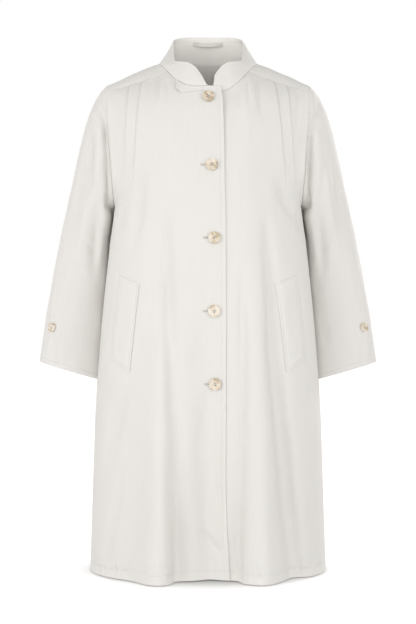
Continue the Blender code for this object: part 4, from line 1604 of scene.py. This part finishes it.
    def purl(self, hole_x: float, hole_z: float, way: int) -> Run:
        """Gives the close stitches on one lip of a buttonhole.

        Args:
            hole_x: the x of its middle.
            hole_z: its height.
            way: 1 for the upper lip and -1 for the lower.

        Returns:
            The stitches.
        """
        x = hole_x + np.arange(-self.hole_length / 2, self.hole_length / 2, self.purl_pitch)
        z = np.full_like(x, hole_z + way * (self.purl_inset + self.purl_length / 2))
        points, out = self.surface(*FORM.find_on_front(self.hand, x, z))
        up = np.broadcast_to(np.array([0.0, 0, way]), points.shape)
        ahead = unit(up - out * (up * out).sum(-1, keepdims=True))
        return Run(points, ahead, out, np.full(len(x), self.purl_length))


@dataclass
class Back(Panel):
    """The back, in one piece from side seam to side seam."""

    ripple_shift: float = 400.0
    hem_share: float = 0.985
    hem_points: int = 300
    pucker_seed: int = 23
    pucker_spans: tuple = ((-236, -160), (-90, -30), (20, 96), (150, 238))

    def half(self, hand: Hand, xi: Array, v: Array) -> tuple:
        """Gives the finished cloth on one side.

        Args:
            hand: the wearer's side.
            xi: shares across.
            v: shares up.

        Returns:
            Its points, and the directions that its form faces.
        """

        def form(a: Array, b: Array) -> Array:
            """Gives the back's form without its finer heights."""
            return FORM.panel(hand, a, b, Facing.BACK)

        base, out = form(xi, v), facing_out(form, xi, v, -hand)
        x, z = base[..., 0], base[..., 2]
        from_side = (1 - np.abs(xi)) * FORM.half_width(v)
        from_top = FORM.panel_top(hand, xi, Facing.BACK)[1] - z
        ripple = RIPPLE.read(x + self.ripple_shift, z) * ease(0, self.calm_reach, from_top)
        soft = ease(0, self.calm_reach, from_side) * (creased(BACK_CREASES, x, z) + ripple)
        return base + out * self.hemmed(soft, base, from_side)[..., None], out

    def build(self) -> None:
        """Builds the back and its stitches."""
        v = self.rows()
        xi = self.shares(v, Hand.RIGHT, (0,))
        right, left = (self.half(hand, xi, v) for hand in Hand)
        points, out = (np.concatenate([right[k][::-1], left[k][1:]]) for k in (0, 1))
        cloth = Cloth("back", points, out, seams=(Edge.FIRST_COLUMN, Edge.LAST_COLUMN, Edge.LAST_ROW))
        hem, share = self.hem_row(self.hem_points), np.linspace(0, self.hem_share, self.hem_points)
        runs = [THREAD.along(*self.half(hand, share, hem)) for hand in Hand]
        cloth.make(self.finishes, [f"shoulder_yoke_{hand.label}" for hand in Hand], runs)


@dataclass
class Yoke:
    """A shoulder yoke, from the forward seam over the shoulder to the back."""

    finishes: Finishes
    hand: Hand
    columns: int = 52
    rows: int = 40
    calm: float = 0.08
    ripple_stretch: float = 1.5

    def base(self, along: Array, over: Array) -> Array:
        """Gives the yoke's form without its finer heights."""
        return FORM.yoke(self.hand, along, over)

    def build(self) -> None:
        """Builds the yoke."""
        along, over = np.linspace(0, 1, self.columns + 1)[:, None], np.linspace(0, 1, self.rows + 1)[None]
        points, out = self.base(along, over), facing_out(self.base, along, over, self.hand)
        edge = np.minimum(np.minimum(along, 1 - along), np.minimum(over, 1 - over))
        ripple = RIPPLE.read(points[..., 0], points[..., 1] * self.ripple_stretch)
        points = points + out * (ripple * ease(0, self.calm, edge))[..., None]
        cloth = Cloth(f"shoulder_yoke_{self.hand.label}", points, out, seams=tuple(Edge))
        cloth.make(self.finishes, [], [])


@dataclass
class Sleeve:
    """A two-piece sleeve, with a stitched cuff and a vent below the cuff button."""

    finishes: Finishes
    hand: Hand
    rings: int = 140
    crowding: float = 1.15
    columns: int = 74
    radius: float = 70.0
    length: float = 560.0
    turn_step: float = 0.18
    calm_reach: float = 12.0
    calm_cap: float = 0.03
    ripple_turn: float = 1.3
    ripple_shift: float = 90.0
    cuff_share: float = 0.02
    cuff_stitch: float = 10.0
    cuff_steps: tuple = (34, 29, 24, 20, 16, 13, 11.2, 10, 8.8, 7, 4.6, 2.6, 1.2, 0)
    cuff_inset: float = 3.0
    cuff_points: int = 400
    seam_stitch: float = 5.0
    seam_steps: tuple = (0, 1.2, 2.6, 3.9, 5, 6.1, 8)
    seam_top: float = 0.03
    seam_points: int = 500
    seam_fade: float = 8.0
    vent_width: float = 24.0
    vent_height: float = 84.0
    vent_step: float = 0.9
    vent_edge: float = 0.8
    vent_fade: tuple = (-6.0, -2.0)
    vent_stitch: float = 3.0
    vent_inset: float = 2.0
    vent_end: float = 0.985
    vent_points: tuple = (120, 30)

    def base(self, turn: Array, s: Array) -> Array:
        """Gives the sleeve's form without its finer heights."""
        return FORM.sleeve(self.hand, turn, s)

    def seam(self, s: Array) -> Array:
        """Gives the turn of the outer seam."""
        return read(SLEEVE, "s", "seam", s)

    def round_mm(self, s: Array) -> Array:
        """Gives how many millimetres of cloth a degree of turn is.

        Args:
            s: shares along the sleeve.

        Returns:
            The millimetres at each.
        """
        ring = FORM.ring(s)
        half_x, half_z = (ring.out_x - ring.in_x) / 2, (ring.out_z - ring.in_z) / 2
        return 2 * np.pi * np.sqrt((half_x**2 + half_z**2 + ring.depth**2) / 2) / 360

    def from_cuff(self, turn: Array, way: Array) -> Array:
        """Gives the shares along the sleeve at some ways from the cuff, measured on its last stretch."""
        end, near = (self.base(turn, np.full(turn.shape, s)) for s in (1.0, 1 - self.cuff_share))
        return 1 - way / (np.linalg.norm(end - near, axis=-1) / self.cuff_share)

    def surface(self, turn: Array, s: Array, facing: Facing) -> tuple:
        """Gives the finished cloth.

        Args:
            turn: degrees round the arm.
            s: shares along it.
            facing: the front or the back piece.

        Returns:
            Its points, and the directions that its form faces.
        """
        at = self.base(turn, s)
        out = facing_out(self.base, turn, s, self.hand, self.turn_step, math.inf)
        from_cuff = np.linalg.norm(at - self.base(turn, np.ones_like(s)), axis=-1)
        from_seam = np.abs(turn - self.seam(s)) * self.round_mm(s)
        from_under = (180 - np.abs(turn)) * self.round_mm(s)
        calm = ease(0, self.calm_reach, from_seam) * ease(0, self.calm_reach, from_under)
        ripple = RIPPLE.read(turn * self.ripple_turn + self.ripple_shift, at[..., 2])
        soft = creased(SLEEVE_CREASES, at[..., 0], at[..., 2]) + ripple
        height = calm * ease(0.0, self.calm_cap, s) * soft + STITCHED.read(from_cuff - self.cuff_stitch, turn)
        if facing is Facing.FRONT:
            height = height + self.vent(from_seam, from_cuff)
        return at + out * height[..., None], out

    def vent(self, from_seam: Array, from_cuff: Array) -> Array:
        """Gives the vent's lap, which stands up a little, its stitches, and those of the seam above it.

        Args:
            from_seam: distances from the outer seam.
            from_cuff: distances from the cuff.

        Returns:
            The height at each place.
        """
        beside, below = self.vent_width - from_seam, self.vent_height - from_cuff
        width, tall = (ease(-self.vent_edge, self.vent_edge, distance) for distance in (beside, below))
        inside = np.minimum(beside, below) - self.vent_stitch
        sewn = STITCHED.read(inside, from_cuff + from_seam) * ease(*self.vent_fade, inside + self.vent_stitch)
        seam = STITCHED.read(from_seam - self.seam_stitch, from_cuff)
        above = seam * ease(0, self.seam_fade, from_cuff - self.vent_height)
        return self.vent_step * width * tall + sewn * tall * width + above

    def grid(self, facing: Facing) -> tuple:
        """Spreads the points of one piece.

        Args:
            facing: the front or the back piece.

        Returns:
            Their turns, and their shares along the sleeve.
        """
        half_turn = 180 if facing is Facing.FRONT else -180
        near = np.array(self.seam_steps) / (np.pi * self.radius)
        far = np.linspace(near[-1], 1, self.columns - len(near) + 1)[1:]
        round_arm = np.concatenate([near, far])[:, None]
        end_turn = CUFF.seam + (half_turn - CUFF.seam) * round_arm
        cuff = self.from_cuff(end_turn, np.array(self.cuff_steps)[None])
        upper = np.linspace(0, 1, self.rings + 1)[None, :-1] ** self.crowding * cuff[:, :1]
        s = np.concatenate([upper, cuff], 1)
        return self.seam(s) + (half_turn - self.seam(s)) * round_arm, s

    def build(self) -> None:
        """Builds both pieces and their stitches."""
        label = self.hand.label
        for facing in Facing:
            grid = self.surface(*self.grid(facing), facing)
            seams = (Edge.FIRST_COLUMN, Edge.LAST_COLUMN, Edge.FIRST_ROW)
            cloth = Cloth(f"sleeve_{facing.value}_{label}", *grid, seams=seams)
            carriers = [f"shoulder_yoke_{label}", f"front_{label}", "back"]
            cloth.make(self.finishes, carriers, self.stitches(facing))

    def stitches(self, facing: Facing) -> list:
        """Sews the cuff and, in front, the vent and the seam above it.

        Args:
            facing: the front or the back piece.

        Returns:
            The runs of stitches.
        """
        way = 1 if facing is Facing.FRONT else -1
        turn = np.linspace(CUFF.seam + way * self.cuff_inset, way * (180 - self.cuff_inset), self.cuff_points)
        places = [(turn, self.from_cuff(turn, self.cuff_stitch))]
        if facing is Facing.FRONT:
            side = (self.vent_width - self.vent_stitch) / float(self.round_mm(np.array(1.0)))
            top = 1 - (self.vent_height - self.vent_stitch) / self.length
            down, across = self.vent_points
            s = np.linspace(top, self.vent_end, down)
            places.append((self.seam(s) + side, s))
            turn = float(self.seam(np.array(top))) + np.linspace(self.vent_inset, side, across)
            places.append((turn, np.full_like(turn, top)))
            s = np.linspace(self.seam_top, top, self.seam_points)
            places.append((self.seam(s) + self.seam_stitch / self.round_mm(s), s))
        return [THREAD.along(*self.surface(*place, facing)) for place in places]


@dataclass
class Collar:
    """The standing collar band, with rounded ends and a stitched upper edge."""

    finishes: Finishes
    columns: int = 96
    crowding: float = 1.25
    rise_steps: tuple = (0, 0.03, 0.07, 0.12)
    rows: int = 22
    neck_points: int = 160
    crown: float = 2.0
    lift: float = 0.1
    left_start_x: float = 9.33
    left_top_start: float = 0.076
    blend: tuple = (20.0, 50.0)
    edge_stitch: float = 6.0
    edge_pull: float = 0.5
    top_steps: tuple = (9.5, 7.4, 6, 4.6, 2.8, 1.3, 0)
    full_height: float = 30.0
    column_way: float = 4.0
    ripple_share: float = 0.5
    ripple_stretch: float = 3.0
    ripple_calm: float = 8.0
    stitch_ends: int = 2

    def neck_edge(self, hand: Hand) -> Array:
        """Gives the neck edge of front, yoke and back on one side, from the throat to the centre back.

        Args:
            hand: the wearer's side.

        Returns:
            The points.
        """
        top = np.linspace(0, NECK[NECK_FRONT].x / FORM.shoulder_x, self.neck_points)
        over = np.linspace(0, 1, self.neck_points)
        front = FORM.panel(hand, top, np.ones_like(top), Facing.FRONT)
        yoke = FORM.yoke(hand, np.zeros_like(over), over)
        back = FORM.panel(hand, top[::-1], np.ones_like(top), Facing.BACK)
        return np.concatenate([front, yoke[1:], back[1:]])

    def half(self, hand: Hand) -> tuple:
        """Gives the collar on one side, from its lower to its upper edge.

        Args:
            hand: the wearer's side.

        Returns:
            Its points, and their distances below the upper edge.
        """
        whole = self.neck_edge(hand)
        way = way_along(whole)
        share = way / way[-1]
        start = top_start = 0.0
        if hand is Hand.LEFT:
            front = slice(self.neck_points)
            start = float(np.interp(self.left_start_x, np.abs(whole[front, 0]), share[front]))
            top_start = self.left_top_start
        along = start + (1 - start) * np.linspace(0, 1, self.columns + 1) ** self.crowding
        low = read_path(along, share, whole)
        top_along = top_start + (1 - top_start) * (along - start) / (1 - start)
        top = np.stack([read(COLLAR_TOP, "along", axis, top_along) for axis in "xyz"], -1)
        top = top * np.array([hand, 1, 1])
        if hand is Hand.LEFT:
            top[:, 1] += FORM.lap_inset * (1 - ease(*self.blend, top[:, 0]))
        low = low + unit(top - low) * self.lift
        tall = np.linalg.norm(top - low, axis=1)[:, None]
        edge = np.array(self.top_steps)[None] * np.minimum(1, tall / self.full_height)
        middle = np.linspace(self.rise_steps[-1], 1, self.rows)[None, 1:-1] * (1 - edge[:, :1] / tall)
        low_rows = np.array(self.rise_steps)[None] * (1 - edge[:, :1] / tall)
        rise = np.concatenate([low_rows, middle, 1 - edge / tall], 1)[..., None]
        out = unit((low + top) * np.array([0.5, 0.5, 0]))[:, None]
        points = low[:, None] * (1 - rise) + top[:, None] * rise + out * self.crown * 4 * rise * (1 - rise)
        return points, (1 - rise[..., 0]) * tall

    def build(self) -> Cloth:
        """Builds the collar and its stitches.

        Returns:
            Its cut, for what is sewn to it.
        """
        (right, right_drop), (left, left_drop) = self.half(Hand.RIGHT), self.half(Hand.LEFT)
        points = np.concatenate([right, left[-2::-1]])
        drop = np.concatenate([right_drop, left_drop[-2::-1]])
        out = unit(np.cross(np.gradient(points, axis=1), np.gradient(points, axis=0)))
        way = np.arange(len(points))[:, None] * self.column_way
        height = self.edge_pull * STITCHED.read(drop - self.edge_stitch, way)
        ripple = self.ripple_share * RIPPLE.read(way, drop * self.ripple_stretch)
        height = height + ripple * ease(0, self.ripple_calm, drop)
        points = points + out * height[..., None]
        row = len(self.rise_steps) + self.rows - 2 + self.top_steps.index(self.edge_stitch)
        ends = slice(self.stitch_ends, -self.stitch_ends)
        runs = [THREAD.along(points[ends, row], out[ends, row])]
        cloth = Cloth("collar", points, out, seam_gap=0.0, seams=(Edge.FIRST_ROW,))
        cloth.make(self.finishes, ["front_right", "front_left", "back"], runs)
        return cloth


@dataclass
class HangerLoop:
    """The hanger loop inside the back of the collar, sewn down at both ends and bowed between them."""

    finishes: Finishes
    collar: Cloth
    half_length: float = 32.0
    height: float = 9.0
    level: float = 0.74
    bow: float = 7.5
    wall: float = 1.2
    columns: int = 60
    rows: int = 8
    blend: tuple = (0.25, 0.9)
    slope_step: float = 3.0
    stitch_level: float = 0.34
    stitch_ends: int = 3
    bars: tuple = (4, -5)
    bar_points: int = 12

    def build(self) -> None:
        """Builds the loop and its stitches."""
        inner, facing = self.collar.points - self.collar.out * self.collar.wall, -self.collar.out
        behind = np.flatnonzero(inner[:, 0, 1] > ARMHOLE.y)
        x = np.linspace(-self.half_length, self.half_length, self.columns + 1)
        low_z, high_z = inner[len(inner) // 2, 0, 2], inner[len(inner) // 2, -1, 2]
        level = low_z + self.level * (high_z - low_z)

        def at(values: Array, axis: int, z: float) -> Array:
            """Reads the collar along the loop.

            Args:
                values: its points or directions.
                axis: which of their numbers to read.
                z: the height to read them at.

            Returns:
                A value for each column of the loop.
            """
            columns = (inner[..., 0], values[..., axis])
            pairs = [[np.interp(z, inner[c, :, 2], column[c]) for column in columns] for c in behind]
            return np.interp(x, *np.array(sorted(pairs)).T)

        heights = (level, level + self.slope_step)
        middle, above = (np.stack([x, at(inner, 1, z), np.full_like(x, z)], -1) for z in heights)
        off = unit(np.stack([at(facing, axis, level) for axis in range(3)], -1))
        sewn = ease(*self.blend, np.abs(x) / self.half_length)[:, None]
        up = unit(unit(above - middle) * sewn + np.array([0, 0, 1.0]) * (1 - sewn))
        near = middle + off * (FORM.seat_gap + self.bow * (1 - sewn))
        rise = np.linspace(-0.5, 0.5, self.rows + 1)[None, :, None] * self.height
        points = near[:, None] + up[:, None] * rise + off[:, None] * self.wall
        out = np.broadcast_to(off[:, None], points.shape)
        edge, ends, runs = self.stitch_level * self.height, slice(self.stitch_ends, -self.stitch_ends), []
        for way in (-1, 1):
            line = near + up * way * edge + off * self.wall
            runs.append(THREAD.along(line[ends], off[ends]))
        for end in self.bars:
            reach = np.linspace(-edge, edge, self.bar_points)[:, None]
            line = near[end] + up[end] * reach + off[end] * self.wall
            runs.append(THREAD.along(line, np.broadcast_to(off[end], line.shape)))
        cloth = Cloth("hanger_loop", points, out, wall=self.wall, seam_gap=0.0)
        cloth.make(self.finishes, ["collar"], runs)


@dataclass
class SewnOn:
    """A piece that lies on a front: the front's own points under it, moved out."""

    finishes: Finishes
    front: Front
    node: str
    gap: float = FORM.lie_gap
    wall: float = 0.9
    stitch_inset: float = 4.5
    stitch_pull: float = 1.0

    def lay(self, x: Array, z: Array, inside: Array, extra: Array) -> Cloth:
        """Lays a grid of places on the front.

        Args:
            x: places across the front.
            z: places up the front.
            inside: distances from the piece's stitched edges.
            extra: how far more it stands off at each place.

        Returns:
            The cut.
        """
        xi, v = FORM.find_on_front(self.front.hand, x, z)
        points, out = self.front.surface(xi, v)
        pull = self.stitch_pull * STITCHED.read(inside - self.stitch_inset, z + x)
        height = self.gap + self.wall + extra + pull
        return Cloth(self.node, points + out * height[..., None], out, wall=self.wall, seam_gap=0.0)

    def sew(self, cloth: Cloth, lines: Sequence[tuple]) -> None:
        """Sews the piece to the front along some rows and columns of its grid."""
        runs = [THREAD.along(cloth.points[line], cloth.out[line]) for line in lines]
        cloth.make(self.finishes, [f"front_{self.front.hand.label}"], runs)


@dataclass
class Welt(SewnOn):
    """A slanted pocket welt, puffed a little and stitched down round its edges."""

    corners: tuple = ((137, -466), (179.5, -447), (157, -641), (199, -615))
    across_steps: tuple = (0, 1.2, 2.8, 4.5, 6.2, 9)
    columns: int = 30
    rows: int = 88
    stitch_pull: float = 1.6
    puff: float = 1.3
    puff_rise: tuple = (4.0, 18.0)

    def spread(self, size: float, count: int) -> Array:
        """Spreads places over the welt, closer together at both stitched edges.

        Args:
            size: the welt's width or height.
            count: how many places.

        Returns:
            Places from 0 to size.
        """
        near = np.array(self.across_steps)
        middle = np.linspace(near[-1], size - near[-1], count - 2 * len(near) + 2)[1:-1]
        return np.concatenate([near, middle, (size - near)[::-1]])

    def build(self) -> None:
        """Builds the welt and its stitches."""
        corners = np.array(self.corners, float)
        width, tall = (float(np.linalg.norm(corners[k] - corners[0])) for k in (1, 2))
        across, down = self.spread(width, self.columns)[:, None], self.spread(tall, self.rows)[None]
        a, b = (share[..., None] for share in np.broadcast_arrays(across / width, down / tall))
        upper, lower = (corners[k] * (1 - a) + corners[k + 1] * a for k in (0, 2))
        at = upper * (1 - b) + lower * b
        from_ends = np.minimum(down, tall - down)
        inside = np.minimum(np.minimum(across, width - across), from_ends)
        steep, slow = self.puff_rise
        bow = self.puff * ease(0, slow, across) * ease(0, steep, np.minimum(width - across, from_ends))
        cloth = self.lay(self.front.hand * at[..., 0], at[..., 1], inside, bow)
        edge = self.stitch_inset
        columns = [int(np.argmin(np.abs(across[:, 0] - line))) for line in (edge, width - edge)]
        rows = [int(np.argmin(np.abs(down[0] - line))) for line in (edge, tall - edge)]
        lines = [(column, slice(rows[0], rows[1] + 1)) for column in columns]
        self.sew(cloth, lines + [(slice(columns[0], columns[1] + 1), row) for row in rows])


@dataclass
class ThroatTab(SewnOn):
    """The small tab under the right end of the collar, its outer end a little lifted."""

    gap: float = 0.15
    wall: float = 1.1
    x_inner: float = 10.0
    x_outer: float = 65.0
    bottom_z: float = -77.0
    corner: float = 8.0
    taper: float = 4.0
    seam_space: float = 3.0
    end_lift: float = 2.2
    lift_reach: float = 16.0
    columns: int = 44
    rows: int = 18
    stitch_inset: float = 2.6
    stitch_line: int = 3

    def build(self) -> None:
        """Builds the tab and its stitches."""
        x = np.linspace(self.x_inner, self.x_outer, self.columns + 1)
        top = FORM.panel_top(Hand.RIGHT, x / FORM.shoulder_x, Facing.FRONT)[1] - self.seam_space
        low = self.bottom_z + self.corner * ease(self.x_outer - self.corner, self.x_outer, x)
        low = low + self.taper * (self.x_outer - x) / (self.x_outer - self.x_inner)
        rise = np.linspace(0, 1, self.rows + 1)[None]
        z = low[:, None] * (1 - rise) + top[:, None] * rise
        inside = np.minimum((top - low)[:, None] * np.minimum(rise, 1 - rise), (self.x_outer - x)[:, None])
        lift = self.end_lift * ease(self.x_outer - self.lift_reach, self.x_outer, x)[:, None]
        cloth = self.lay(np.broadcast_to(-x[:, None], z.shape), z, inside, lift * np.ones_like(rise))
        line = self.stitch_line
        self.sew(cloth, [(slice(-line), line), (-line - 1, slice(line, -line))])


@dataclass
class Buttons:
    """Horn buttons with a raised rim, a dished middle and four holes, sewn on with strands of thread."""

    finishes: Finishes
    sides: int = 56
    front_radius: float = 11.8
    insets: tuple = ((0.10, 0.0), (0.18, 0.0), (0.16, 0.95), (0.18, 0.0))  # shares of the radius, and depths
    back_inset: float = 0.12
    hole_radius: float = 1.15
    hole_spread: float = 2.3
    hole_turns: tuple = (45, 135, 225, 315)
    hole_sides: int = 20
    edge_round: float = 0.7
    edge_steps: int = 3
    bevel_angle: float = 22.0
    smooth_angle: float = 40.0
    flat_share: float = 0.9  # how much of a flat face's direction is up or down
    turn_each: float = 17.0
    strands: tuple = (-1.45, -0.7, 0.7, 1.45)
    strand_middle: float = 1.07
    strand_pitch: float = 0.9
    strand_spread: float = 0.7
    strand_share: float = 0.71
    strand_ends: float = 1.6
    shank_radius: float = 2.6
    shank_layers: tuple = (-0.7, -0.1, 0.5)
    shank_stitches: int = 8

    @property
    def dish(self) -> float:
        """The depth of the dished middle."""
        return sum(depth for _, depth in self.insets)

    def inset(self, blank: Piece, way: int, steps: Sequence[tuple]) -> None:
        """Insets the faces of one side of a button, one ring inside another.

        Args:
            blank: the button, in edit mode.
            way: 1 for its front and -1 for its back.
            steps: the rings' widths as shares of the radius, and their depths.
        """
        bpy.ops.mesh.select_all(action="DESELECT")
        edit = bmesh.from_edit_mesh(blank.data)
        for face in edit.faces:
            face.select_set(face.normal.z * way > self.flat_share)
        bmesh.update_edit_mesh(blank.data)
        for share, depth in steps:
            bpy.ops.mesh.inset(thickness=self.front_radius * MM * share, depth=-depth * MM)

    def model(self) -> Mesh:
        """Models one front button, its back on the origin's plane.

        Returns:
            Its mesh, in metres.
        """
        radius, tall = self.front_radius * MM, ButtonSeat.of(FRONT_BUTTONS[0]).tall * MM
        bpy.ops.object.select_all(action="DESELECT")
        bpy.ops.mesh.primitive_cylinder_add(
            vertices=self.sides, radius=radius, depth=tall, location=(0, 0, tall / 2), end_fill_type="NGON"
        )
        blank = bpy.context.object
        blank.data.transform(Matrix.Translation(blank.location))
        blank.location = (0, 0, 0)
        bpy.ops.object.mode_set(mode="EDIT")
        self.inset(blank, 1, self.insets)
        self.inset(blank, -1, ((self.back_inset, 0.0),))
        bpy.ops.object.mode_set(mode="OBJECT")
        spread = self.hole_spread * MM
        for turn in map(math.radians, self.hole_turns):
            place = (spread * math.cos(turn), spread * math.sin(turn), tall / 2)
            bpy.ops.object.select_all(action="DESELECT")
            bpy.ops.mesh.primitive_cylinder_add(
                vertices=self.hole_sides, radius=self.hole_radius * MM, depth=3 * tall, location=place
            )
            drill = bpy.context.object
            bpy.ops.object.select_all(action="DESELECT")
            bpy.context.view_layer.objects.active = blank
            cut = blank.modifiers.new("Hole", "BOOLEAN")
            cut.operation, cut.object = "DIFFERENCE", drill
            bpy.ops.object.modifier_apply(modifier=cut.name)
            bpy.data.objects.remove(drill)
        soften = blank.modifiers.new("Soften", "BEVEL")
        soften.width, soften.segments, soften.limit_method = self.edge_round * MM, self.edge_steps, "ANGLE"
        soften.angle_limit = math.radians(self.bevel_angle)
        soften.harden_normals = False
        bpy.ops.object.modifier_apply(modifier=soften.name)
        bpy.ops.object.select_all(action="DESELECT")
        blank.select_set(True)
        bpy.ops.object.shade_smooth_by_angle(angle=math.radians(self.smooth_angle))
        mesh = blank.data.copy()
        bpy.data.objects.remove(blank)
        return mesh

    def build(self) -> None:
        """Copies the button to each seat and sews it on."""
        pattern, runs = self.model(), []
        for k, node in enumerate([*FRONT_BUTTONS, *(f"cuff_button_{hand.label}" for hand in Hand)]):
            seat = ButtonSeat.of(node)
            aim = Vector(seat.out).to_track_quat("Z", "Y").to_matrix().to_4x4()
            turn = Matrix.Rotation(math.radians(self.turn_each * k), 4, "Z")
            share = seat.radius / self.front_radius
            size = Matrix.Diagonal((share, share, 1, 1))
            place = Matrix.Translation(Vector(seat.at) * MM) @ aim @ turn @ size
            mesh = pattern.copy()
            mesh.transform(place)
            obj = link_mesh(node + "_horn", mesh, self.finishes.horn)
            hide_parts(node)
            runs += self.threads(place, share, seat)
            log.info("%s: radius %.1f mm, %d faces", obj.name, seat.radius, len(mesh.polygons))
        THREAD.sew("button_threads", runs, self.finishes.thread)

    def threads(self, place: Matrix, share: float, seat: ButtonSeat) -> list:
        """Sews a button on: two pairs of strands across its middle and a wound shank under it.

        Args:
            place: puts the button's mesh on its seat.
            share: its radius by that of a front button.
            seat: where it sits.

        Returns:
            The runs of thread.
        """
        turned = np.array(place.to_3x3())
        across, facing = unit(turned[:, 0] + turned[:, 1]), unit(turned[:, 2])
        beside = unit(np.cross(facing, across))
        spread, runs = self.hole_spread * share, []
        top = seat.at + facing * (seat.tall - self.dish + THREAD.radius)
        length = np.array([2 * spread * self.strand_share + self.strand_ends])
        for strand in self.strands:
            middle = top + beside * spread * self.strand_spread * np.sign(strand)
            middle = middle + beside * (abs(strand) - self.strand_middle) * self.strand_pitch
            runs.append(Run(middle[None], across[None], facing[None], length))
        turn = np.linspace(0, 2 * np.pi, self.shank_stitches + 1)[:-1, None]
        away = np.cos(turn) * across + np.sin(turn) * beside
        ahead = -np.sin(turn) * across + np.cos(turn) * beside
        for layer in self.shank_layers:
            middle = seat.at + facing * layer + away * self.shank_radius * share
            runs.append(Run(middle, ahead, away, np.full(len(turn), THREAD.length * share)))
        return runs


class Lamp(NamedTuple):
    """A round soft lamp: its place and size in metres and its power in watts."""

    name: str
    place: tuple
    size: float
    power: float


@dataclass
class Studio:
    """The floor, the soft light and the camera at the photograph's place."""

    distance: float = 2600.0
    eye_z: float = -521.0
    frame_height: float = 1310.4
    sensor: float = 36.0
    sight: float = 200.0
    floor_z: float = -1058.5
    floor_radius: float = 60.0
    floor_sides: int = 96
    floor_insets: tuple = (0.5, 0.3)
    zenith: tuple = (0.26, 0.5, 1.0, 0.72)  # two heights of the sky, and the shares of light there
    nadir: tuple = (-0.15, -0.03, 0.7, 1.0)
    lamps: tuple = (
        Lamp("key", (-2.0, -1.7, -0.2), 1.4, 18.5),
        Lamp("fill", (2.0, -1.7, -0.2), 1.4, 13.5),
        Lamp("front", (-0.1, -2.5, -0.55), 1.0, 11.0),
        Lamp("rear_key", (1.9, 2.1, 0.15), 0.8, 26.0),
        Lamp("rear_fill", (-1.5, 2.3, -0.2), 1.0, 9.0),
    )
    contrast: float = 0.9

    def camera(self) -> None:
        """Places the camera square on to the coat."""
        data = bpy.data.cameras.new("camera")
        data.sensor_width = self.sensor
        data.lens = self.sensor / 2 / (self.frame_height / 2 / self.distance)
        data.clip_end = self.sight
        camera = bpy.data.objects.new("camera", data)
        camera.location = (0, -self.distance * MM, self.eye_z * MM)
        camera.rotation_euler = (math.radians(90), 0, 0)
        bpy.context.scene.collection.objects.link(camera)
        bpy.context.scene.camera = camera

    def floor(self) -> None:
        """Lays a round floor."""
        bpy.ops.object.select_all(action="DESELECT")
        place = (0, 0, self.floor_z * MM)
        bpy.ops.mesh.primitive_circle_add(
            vertices=self.floor_sides, radius=self.floor_radius, fill_type="NGON", location=place
        )
        floor = bpy.context.object
        floor.name = "floor"
        floor.data.transform(Matrix.Translation(floor.location))
        floor.location = (0, 0, 0)
        bpy.ops.object.mode_set(mode="EDIT")
        bpy.ops.mesh.select_all(action="SELECT")
        for share in self.floor_insets:
            bpy.ops.mesh.inset(thickness=self.floor_radius * share)
        bpy.ops.object.mode_set(mode="OBJECT")
        floor.data.materials.append(FloorFinish().make())
        floor.visible_diffuse = False  # the surround's own dim lower half lights the coat from below

    def surround(self) -> None:
        """Makes the surround: white at eye level and dimmer overhead and below."""
        world = bpy.data.worlds.new("studio")
        bpy.context.scene.world = world
        world.use_nodes = True
        tree = world.node_tree
        way = add_node(tree, "TexCoord", {}).outputs["Generated"]
        height = add_node(tree, "SeparateXYZ", {"Vector": way}).outputs["Z"]
        ramps = [{"Value": height, **dict(zip(RANGE_NAMES, ends))} for ends in (self.zenith, self.nadir)]
        shares = [add_node(tree, "MapRange", ramp) for ramp in ramps]
        strength = add_node(tree, "Math", dict(enumerate(shares)), operation="MULTIPLY")
        fill_inputs(tree, tree.nodes["Background"], {"Color": (1, 1, 1, 1), "Strength": strength})

    def light(self) -> None:
        """Hangs the soft lamps, aims them at the coat's middle and sets how tones are shown."""
        for lamp in self.lamps:
            data = bpy.data.lights.new(lamp.name, "AREA")
            data.shape, data.size, data.energy = "DISK", lamp.size, lamp.power
            obj = bpy.data.objects.new(lamp.name, data)
            obj.location = lamp.place
            obj.visible_camera = False
            aim = Vector((0, 0, self.eye_z * MM)) - obj.location
            obj.rotation_euler = aim.to_track_quat("-Z", "Y").to_euler()
            bpy.context.scene.collection.objects.link(obj)
        view = bpy.context.scene.view_settings
        view.view_transform = "Standard"
        view.gamma = self.contrast

    def build(self) -> None:
        """Sets up the studio."""
        for step in (self.camera, self.floor, self.surround, self.light):
            step()


def main() -> None:
    """Builds the studio and every piece of the coat."""
    logging.basicConfig(level=logging.INFO, format="%(message)s")
    Studio().build()
    finishes = Finishes()
    for hand in Hand:
        front = Front(finishes, hand=hand)
        front.build()
        Yoke(finishes, hand).build()
        Sleeve(finishes, hand).build()
        Welt(finishes, front, f"pocket_welt_{hand.label}").build()
        if hand is Hand.RIGHT:
            ThroatTab(finishes, front, "throat_tab").build()
    Back(finishes).build()
    HangerLoop(finishes, Collar(finishes).build()).build()
    Buttons(finishes).build()


if __name__ == "__main__":
    main()
